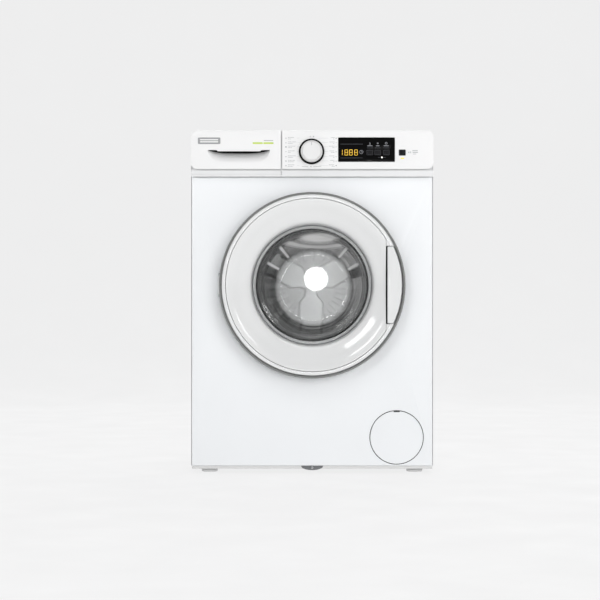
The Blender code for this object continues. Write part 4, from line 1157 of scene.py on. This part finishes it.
def handle_recess():
    """The recess under the handle: a cheek at each end, a floor with a slot and two pivot posts."""
    half = 95.8
    shapes = []
    for side in (-1, 1):
        edge = [(221.4 * math.cos(math.radians(t)), AXIS_Z + side * 221.4 * math.sin(math.radians(t)))
                for t in range(26, 35)]
        cheek = [(181.4, AXIS_Z + side * half), *edge, (181.4, AXIS_Z + side * 126)]
        shapes.append(softened(prism(cheek, "Y", -262.1, -255), 0.5))
    reach = math.degrees(math.asin(half / 221.6))
    floor = [(182, AXIS_Z - half), *arc((0, AXIS_Z), 221.6, -reach, reach, 24), (182, AXIS_Z + half)]
    slot = block((190, 213), (-260, -240), about(AXIS_Z, 54))
    shapes.append(cut(prism(floor, "Y", -248.5, -246.5), slot))
    shapes += [block((204, 212), (-257.5, -231), about(AXIS_Z + side * 47, 3)) for side in (-1, 1)]
    return shapes


def door_frame():
    """The door's white structure: back plate, outer wall, hinge knuckle and the handle's recess."""
    profile = [(152, -229), (225.6, -229), (225.6, -232), (222, -232), (222, -261.2), (221, -262.2),
               (215, -262.9), (213.1, -262.4), (212.8, -261), (212.8, -232), (152, -232)]
    recess = block((183.6, 231), (-270, -247), about(AXIS_Z, 95.6))
    hook_hole = block((192, 211), (-234, -225), about(AXIS_Z, 9))
    lug_notch = block((-240, -222.5), (-250, -220), about(AXIS_Z, 31))
    ring = cut(lathe(profile, steps=DOOR_ROUND), recess, hook_hole, lug_notch)
    height = about(AXIS_Z, 22.5)
    knuckle = tube(2.5, 3.9, *height, HINGE, "Z", 40)
    web = block((-225, -218), (-249, -243), height)
    shapes = [ring, knuckle, web, *door_frame_ribs(), *handle_recess()]
    piece("door_frame_ring", together(*shapes), DOOR_WHITE, "door", ["door_frame"])


def door_front_ring():
    """The dished white cover between the porthole and the seam."""
    front = smooth_path([(211.9, -262.2), (210.8, -263.1), (206, -262.4), (198, -260.2), (190, -257.2),
                         (182, -253.8), (174, -250.8), (166, -248.0), (158, -244.8), (152, -241.6),
                         (148.6, -238.6)], 6)
    profile = [*front, (147.8, -237.4), (150, -237), (160, -242.6), (176, -248.2), (190, -253.4),
               (200, -258), (211.2, -259.6)]
    cover = cut(lathe(profile, steps=DOOR_ROUND), block((180.4, 240), (-270, -220), about(AXIS_Z, 130)))
    piece("door_cover_ring", cover, DOOR_WHITE, "door", ["door_front_ring"])
    shade = block((180.6, 186), (-252, -249), about(AXIS_Z, 95.4))
    piece("handle_gap_shade", shade, BLACK_AND_PAINTED_SHADE, "door")


def door_glass():
    """The pressed glass bowl. Its floor lies a little right of and below the porthole's middle."""
    outer = smooth_path([(88, -112), (92, -113.6), (98, -118), (106, -129), (118, -155), (131, -195),
                         (139, -228), (142.5, -236.4), (147.2, -238.6)], 6)
    inner = smooth_path([(146.4, -243.2), (142.4, -243.4), (138.4, -241.4), (134.8, -236),
                         (131, -222), (122, -185), (109, -148), (99, -128), (92, -120),
                         (88, -117.6), (85, -117)], 6)
    outer_floor = [(0, -112), (84, -112), (86, -112)]
    inner_floor = [(83, -117), (81, -117), (0, -117)]
    bowl = lathe([*outer_floor, *outer, *inner, *inner_floor], steps=GLASS_ROUND)
    for vert in bowl.verts:
        depth = eased((vert.co.y / MM + 240) / 120)
        vert.co.x += BOWL_SHIFT[0] * MM * depth
        vert.co.z += BOWL_SHIFT[1] * MM * depth
    piece("door_bowl", bowl, GLASS, "door", ["door_glass"])
    seal = smooth_path([(147.2, -243.6), (147.2, -247.0), (146.7, -247.8), (145.9, -247.6), (145.5, -246.6),
                        (145.6, -243.6)], 4)
    piece("door_bowl_seal", lathe(seal, steps=GLASS_ROUND), SEAL_RUBBER, "door")


def door_handle():
    """The pull flap with rounded edges, a finger lip behind its left edge and its pivot pins."""
    half, radius = 93.8, 219.4
    reach = math.degrees(math.asin(half / radius))
    outline = [(184.3, AXIS_Z - half), *arc((0, AXIS_Z), radius, -reach, reach, 32), (184.3, AXIS_Z + half)]
    flap = softened(prism(outline, "Y", -262.9, -258.9), 0.8, 4)
    lip = softened(block((184.6, 186.6), (-259.4, -252), about(AXIS_Z, 90)), 0.6)
    lugs = []
    for side in (-1, 1):
        lug = sorted((AXIS_Z + side * 38, AXIS_Z + side * 43.4))
        lugs.append(softened(block(about(HANDLE_PIVOT[0], 3), (-259.5, -251.5), lug), 0.8))
        pin = sorted((AXIS_Z + side * 42, AXIS_Z + side * 49.5))
        lugs.append(rod(1.7, *pin, HANDLE_PIVOT, "Z"))
    flap = together(flap, lip, *lugs)
    piece("door_handle_flap", flap, DOOR_WHITE, "handle", ["door_handle"])


def latch_hook():
    """The hook that reaches through the front panel into the lock."""
    outline = [(-4, -5), (4, -5), (4, 0), (3, 20), (9, 22), (3, 32), (-2, 32), (-3, 0)]
    outline = [(HOOK_PIVOT[0] + x, HOOK_PIVOT[1] + y) for x, y in outline]
    hook = softened(prism(outline, "Z", *about(AXIS_Z, 6)), 0.9)
    piece("latch_hook_body", hook, ZINC, "latch", ["latch_hook"])


def hinge_bracket():
    """The steel bracket behind the front panel with two rounded lugs and the hinge pin."""
    back = softened(plate((-262, -216), about(AXIS_Z, 45), (-224.4, -222.4), 6), 0.5)
    outline = [*arc(HINGE, 3, 180, 360, 16), (HINGE[0] + 3, -222.6), (HINGE[0] - 3, -222.6)]
    lugs = [softened(prism(outline, "Z", *about(AXIS_Z + side * 26, 2.5)), 0.4) for side in (-1, 1)]
    pin = rod(2, *about(AXIS_Z, 28), HINGE, "Z")
    piece("hinge_bracket_steel", together(back, *lugs, pin), ZINC,
          stands_for=["hinge_bracket"])


def gasket():
    """The folded rubber bellows from the front panel to the tub's neck."""
    outer = smooth_path([(168, -224.4), (156, -224.8), (152.6, -221), (152, -205), (153, -192),
                         (161.5, -184), (161.5, -178), (153, -171), (152, -164)], 5)
    inner = smooth_path([(172.6, -162.8), (172.6, -154), (175.6, -154), (175.6, -166), (158, -166.6),
                         (159, -173), (165.6, -181), (157, -192), (155.6, -206), (156.4, -220),
                         (168, -221.4)], 3)
    obj = piece("gasket_bellows", lathe([*outer, *inner], steps=DRUM_ROUND), SEAL_RUBBER, None,
                ["door_gasket"])
    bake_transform(obj)


# ---------------------------------------------------------------- drum and what moves it


def polar(radius, turn):
    return (radius * math.cos(turn), AXIS_Z + radius * math.sin(turn))


def drum_wall():
    """The drum's side wall: a steel sheet with round holes in every second cell."""
    radius, low, high = 238.4, -135.0, 138.0
    around, along = 144, 26
    bm = bmesh.new()

    def point(i, j):
        """The wall swells a little in twelve broad waves, which fade towards its ends."""
        turn = math.tau * (i % around) / around
        swell = 0.55 * math.cos(12 * turn) * eased(j / 3) * eased((along - j) / 3)
        x, z = polar(radius + swell, turn)
        return Vector((x, low + (high - low) * j / along, z)) * MM

    corners = {}

    def vert(i, j):
        place = (i % around, j)
        if place not in corners:
            corners[place] = bm.verts.new(point(*place))
        return corners[place]

    for i in range(around):
        for j in range(along):
            round_cell = [(i, j), (i + 1, j), (i + 1, j + 1), (i, j + 1)]
            cell = [vert(*place) for place in round_cell]
            if (i + j) % 2 or j in (0, along - 1):
                bm.faces.new(cell)
                continue
            points = [point(*place) for place in round_cell]
            middle_point = sum(points, Vector()) / 4
            hole = []
            for corner, following in zip(points, points[1:] + points[:1]):
                for edge in (corner, (corner + following) / 2):
                    hole.append(bm.verts.new(middle_point + (edge - middle_point).normalized() * 1.7 * MM))
            for k in range(4):
                first, second, third = hole[2 * k], hole[2 * k + 1], hole[(2 * k + 2) % 8]
                bm.faces.new((cell[k], cell[(k + 1) % 4], third, second, first))
    facing_out(bm)
    bmesh.ops.solidify(bm, geom=bm.faces[:], thickness=0.8 * MM)
    return facing_out(bm)


def drum_ends():
    """The rolled mouth and the shoulders of the drum."""
    mouth = smooth_path([(158, -138.5), (157.2, -140.4), (158, -142), (175, -141.8), (215, -141.4),
                         (233, -140.6), (238.4, -137), (239, -134.4)], 4)
    inner = smooth_path([(237.8, -134.4), (236.6, -136.8), (231, -139.2), (215, -139.8), (172, -140)], 4)
    rear = [(239, 137.6), (238.6, 141), (235.6, 143.6), (230, 144), (230, 142.6), (234.8, 142.2),
            (237.2, 140), (237.8, 137.6)]
    return together(lathe([*mouth, *inner], steps=DRUM_ROUND), lathe(rear, steps=DRUM_ROUND))


def arm_angle(index):
    """Which way one of the drum's three arms points. The lifters stand at their ends."""
    return math.radians(120 * index - 90)


def arm_cover(radius, turn):
    """How far a point of the drum's back lies on one of its three bottle-shaped arms."""
    best = 0.0
    for index in range(3):
        apart = turn - arm_angle(index)
        along = radius * math.cos(apart)
        across = abs(radius * math.sin(apart))
        if along > 0:
            half_width = 16 + 16 * eased((along - 22) / 26)
            best = max(best, eased((half_width - across) / 5 + 0.5))
    return best


def drum_back():
    """The drum's back wall: three raised arms, pressed fans between them and a dished middle."""
    rings, around = 64, 270
    inner, outer = 16, 231
    surface = 142.8
    layers = []
    bm = bmesh.new()
    for thickness in (0, 0.9):
        rows = []
        for j in range(rings + 1):
            radius = inner + (outer - inner) * j / rings
            row = []
            for i in range(around):
                turn = math.tau * i / around
                fan = 0.5 + 0.5 * math.cos(18 * turn)
                band = eased((radius - 62) / 14) * eased((222 - radius) / 14)
                arm = arm_cover(radius, turn)
                press = 2.2 * eased((fan - 0.3) / 0.4) * band * (1 - arm)
                press += 9.0 * arm * eased((226 - radius) / 8)
                press -= 4.0 * max(0.0, 1 - abs(radius - 122) / 2.4)
                x, z = polar(radius, turn)
                row.append(bm.verts.new(Vector((x, surface - press + thickness, z)) * MM))
            rows.append(row)
        layers.append(rows)
    for rows in layers:
        skin_between(bm, rows)
    for end in (0, -1):
        skin_between(bm, [rows[end] for rows in layers])
    return facing_out(bm)


def lifter(index):
    """A lifting vane: a waisted body with a rounded crest, tapered towards both of its ends."""
    angle = arm_angle(index)
    sections = 26
    low, high, base = -117.0, 129.0, 236.4
    half_profile = smooth_path([(33, 0), (31.5, 5), (24, 14), (19.5, 27), (18.5, 40), (16.5, 49),
                                (11, 55.5), (4, 58), (0, 58.3)], 3)
    outline = [(-w, h) for w, h in half_profile] + [(w, h) for w, h in half_profile[-2::-1]]
    bm = bmesh.new()
    rows = []
    for i in range(sections + 1):
        t = i / sections
        swell = 0.86 + 0.14 * eased(min(t, 1 - t) / 0.09)
        y = low + (high - low) * t
        row = []
        for width, height in outline:
            reach = base - height * swell
            across = width * (0.9 + 0.1 * swell)
            x = reach * math.cos(angle) - across * math.sin(angle)
            z = AXIS_Z + reach * math.sin(angle) + across * math.cos(angle)
            row.append(bm.verts.new(Vector((x, y, z)) * MM))
        rows.append(row)
    skin_between(bm, rows)
    bm.faces.new(rows[0])
    bm.faces.new(rows[-1])
    node = "lifter_" + str(index + 1)
    vane = softened(facing_out(bm), 2.4, 4, 50)
    piece(node + "_vane", vane, SOFT_WHITE, "drum", [node])


def drum():
    wall = together(drum_wall(), drum_ends())
    piece("drum_wall_sheet", wall, STAINLESS, "drum", ["drum_shell"])
    piece("drum_back_sheet", drum_back(), BACK_STEEL, "drum")
    for index in range(3):
        lifter(index)


def springs():
    """Two suspension springs wound from wire, with a hook at each end."""
    low, high = 616, 774
    radius, wire = 12.4, 2.4
    for side, name in ((-1, "left"), (1, "right")):
        x = side * SPRING_X
        shapes = [helix(x, SPRING_Y, low, high, radius, wire, 15)]
        for end, way, tip in ((low, -1, 11.6), (high, 1, 11.8)):
            bend = [(radius, 0), (10, 6), (0, 10), (0, tip)]
            hook = [(x + aside, SPRING_Y, end + way * rise) for aside, rise in bend]
            shapes.append(wire_along(hook, wire))
        obj = piece("spring_coil_" + name, together(*shapes), ZINC, None,
                    ["suspension_spring_" + name])
        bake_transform(obj)


# ---------------------------------------------------------------- service flap and rear fittings


def filter_flap():
    """The round service cover with a grip notch, and the screw plug behind it."""
    x, z = FILTER
    disc = prism(circle(FILTER, 65.1, 128), "Y", -227.4, -224)
    notch = plate(about(x, 8), (149.8, 158), (-231, -226), 2.4, 6)
    piece("filter_disc", softened(cut(disc, notch), 0.4, 3), ENAMEL, "filter_flap",
          ["filter_cover"])
    # Painted shade: a black floor in the grip notch.
    notch_shade = plate(about(x, 7.6), (150.2, 152.4), (-226.2, -225.6), 1.0, 5)
    piece("filter_notch_shade", notch_shade, BLACK_AND_PAINTED_SHADE, "filter_flap")
    plug = lathe([(0, -217), (25, -217), (27.4, -216), (28.4, -214), (28.4, -200), (20, -198),
                  (20, -110), (0, -110)], FILTER, steps=96)
    grip = softened(plate(about(x, 22), about(z, 4), (-222.5, -215), 3.8), 1.0)
    ridges = [rod(1.2, -214.4, -201, place, steps=8) for place in circle(FILTER, 28.2, 24)]
    piece("filter_plug_cap", together(plug, grip, *ridges), MOULDED_GREY, "filter_plug",
          ["filter_cap"])


def rear_fittings():
    """The threaded water inlet, the drain stub with its barb, and the mains gland."""
    body = softened(block(about(INLET[0], 22), (205, 246), about(INLET[1], 18)), 3.0, 4)
    thread = [(13.2 if i % 2 else 11.8, 251.5 + i * 0.9) for i in range(13)]
    stub = lathe([(9, 250), (13.2, 250), *thread, (11.4, 263.4), (9, 263.4)], INLET, steps=64)
    neck = tube(9, 14, 240, REAR_Y, INLET)
    piece("inlet_valve_body", together(body, neck, stub), MOULDED_GREY,
          stands_for=["inlet_valve"])
    drain = lathe([(9, 240), (20, 240), (20, 249), (12, 249.4), (11.4, 258), (12.6, 259.4),
                   (12.4, 260.6), (11, 263.4), (9, 263.4)], DRAIN, steps=64)
    piece("drain_stub", drain, MOULDED_GREY, stands_for=["drain_outlet"])
    gland = lathe([(4.6, 243), (8.3, 243), (8.3, 251.2), (11.2, 251.4), (11.4, 253), (9.6, 256.4),
                   (7, 257), (4.6, 257)], MAINS, steps=48)
    piece("mains_gland", gland, BLACK_RUBBER, stands_for=["cable_gland"])


NODE_LOOKS = {
    ZINC: ["front_crossbar", "damper_rod_left", "damper_rod_right", "motor_rotor"],
    SOFT_WHITE: ["drawer_housing", "tub_front_half", "tub_rear_half"],
    MOULDED_GREY: ["control_board", "door_lock", "drain_pump", "damper_cylinder_left",
                   "damper_cylinder_right"],
    CONCRETE: ["upper_counterweight", "lower_counterweight"],
    CAST: ["motor_body", "drum_spider", "drum_pulley"],
    STAINLESS: ["heater_element", "front_bearing", "rear_bearing"],
    BLACK_RUBBER: ["drive_belt"],
}


def dress_plain_nodes():
    """The hidden works keep their CAD shapes and get a full material each."""
    for look, names in NODE_LOOKS.items():
        for name in names:
            data = frame["nodes"][name].data
            data.materials.clear()
            data.materials.append(look)


# ---------------------------------------------------------------- studio

BACKDROP = (0.86, 0.86, 0.862, 1)
LAMP_TARGET = (0, 0, 0.45)


def cyclorama():
    """A pale floor that curves up into the backdrop, so that no edge shows."""
    reach, top = 40000, 12000
    floor, foot, bend = -2, 2200, 1400
    curve = [(-reach, floor), (foot, floor)]
    curve += [(foot + bend * math.sin(math.radians(t)), floor + bend * (1 - math.cos(math.radians(t))))
              for t in range(9, 91, 9)]
    curve.append((foot + bend, top))
    bm = bmesh.new()
    rows = [[bm.verts.new(Vector((x, y, z)) * MM) for y, z in curve] for x in (-reach, reach)]
    for i in range(len(curve) - 1):
        bm.faces.new((rows[0][i], rows[1][i], rows[1][i + 1], rows[0][i + 1]))
    paper = finish("studio_paper", grey(0.04), 0.85, tone=0.004, patches=2.0, relief=0.02)
    paper.set("Emission Color", BACKDROP)
    paper.set("Emission Strength", 0.95)
    piece("studio_floor", bm, paper.material, None)


def softbox(name, place, size, power, aim=LAMP_TARGET, shape="RECTANGLE", lean=0.0, mirrored=True):
    """An area lamp at a place, in metres, that faces the point it is aimed at.

    The lean, in degrees, turns it about its own axis. A lamp that isn't mirrored shows in no gloss.
    """
    data = bpy.data.lights.new(name, "AREA")
    data.shape = shape
    data.size = size[0]
    if shape == "RECTANGLE":
        data.size_y = size[1]
    data.energy = power
    lamp = bpy.data.objects.new(name, data)
    lamp.location = place
    facing = (Vector(aim) - Vector(place)).to_track_quat("-Z", "Y").to_matrix()
    lamp.rotation_euler = (facing @ Matrix.Rotation(math.radians(lean), 3, "Z")).to_euler()
    lamp.visible_camera = False
    lamp.visible_glossy = mirrored
    bpy.context.scene.collection.objects.link(lamp)


def studio_air():
    """Weak sky light on the object, with the backdrop's own grey where the camera sees past it."""
    world = bpy.data.worlds.new("studio_air")
    world.use_nodes = True
    nodes, links = world.node_tree.nodes, world.node_tree.links
    air = nodes["Background"]
    air.inputs["Color"].default_value = (0.97, 0.985, 1, 1)
    air.inputs["Strength"].default_value = 0.18
    backdrop = nodes.new("ShaderNodeBackground")
    backdrop.inputs["Color"].default_value = BACKDROP
    seen = nodes.new("ShaderNodeLightPath").outputs["Is Camera Ray"]
    choice = nodes.new("ShaderNodeMixShader")
    for source, target in zip((seen, air.outputs[0], backdrop.outputs[0]), choice.inputs):
        links.new(source, target)
    links.new(choice.outputs[0], nodes["World Output"].inputs["Surface"])
    bpy.context.scene.world = world


def lamps():
    softbox("left_softbox", (-2.3, -3.2, 1.6), (1.6, 2.2), 10, mirrored=False)
    softbox("right_softbox", (2.4, -3.2, 1.4), (1.6, 2.2), 32, mirrored=False)
    softbox("top_softbox", (0, -2.0, 3.0), (2.6, 1.4), 22)
    softbox("front_softbox", (0.7, -7.0, 1.2), (3.0, 2.4), 91, mirrored=False)
    softbox("rear_softbox", (0.6, 1.9, 2.6), (1.8, 1.2), 22)
    softbox("left_strip", (-1.2, -2.9, 1.72), (1.0, 0.24), 7.8, lean=45)
    softbox("right_strip", (1.28, -3.0, 1.32), (0.7, 0.15), 4.6, lean=-56)
    softbox("beauty_disc", (0.051, -4.36, 0.534), (0.122, 0.122), 0.75, (0, 0, 0.47), "DISK")


def camera():
    data = bpy.data.cameras.new("photo_camera")
    data.lens = 100
    data.sensor_width = 36
    eye = bpy.data.objects.new("photo_camera", data)
    eye.location = (-0.030, -4.343, 0.427)
    eye.rotation_euler = (math.radians(90), 0, 0)
    bpy.context.scene.collection.objects.link(eye)
    bpy.context.scene.camera = eye
    bpy.context.scene.view_settings.view_transform = "Standard"


def main():
    for build in (front_panel, side_panels, rear_panel, rear_access_cover, worktop, base_frame,
                  feet, fascia, program_labels, display, keys, knob, drawer_front, drawer_marks,
                  drawer_tray, door_rim, door_frame, door_front_ring, door_glass, door_handle,
                  latch_hook, hinge_bracket, gasket, drum, springs, filter_flap, rear_fittings,
                  dress_plain_nodes, cyclorama, studio_air, lamps, camera):
        build()


main()
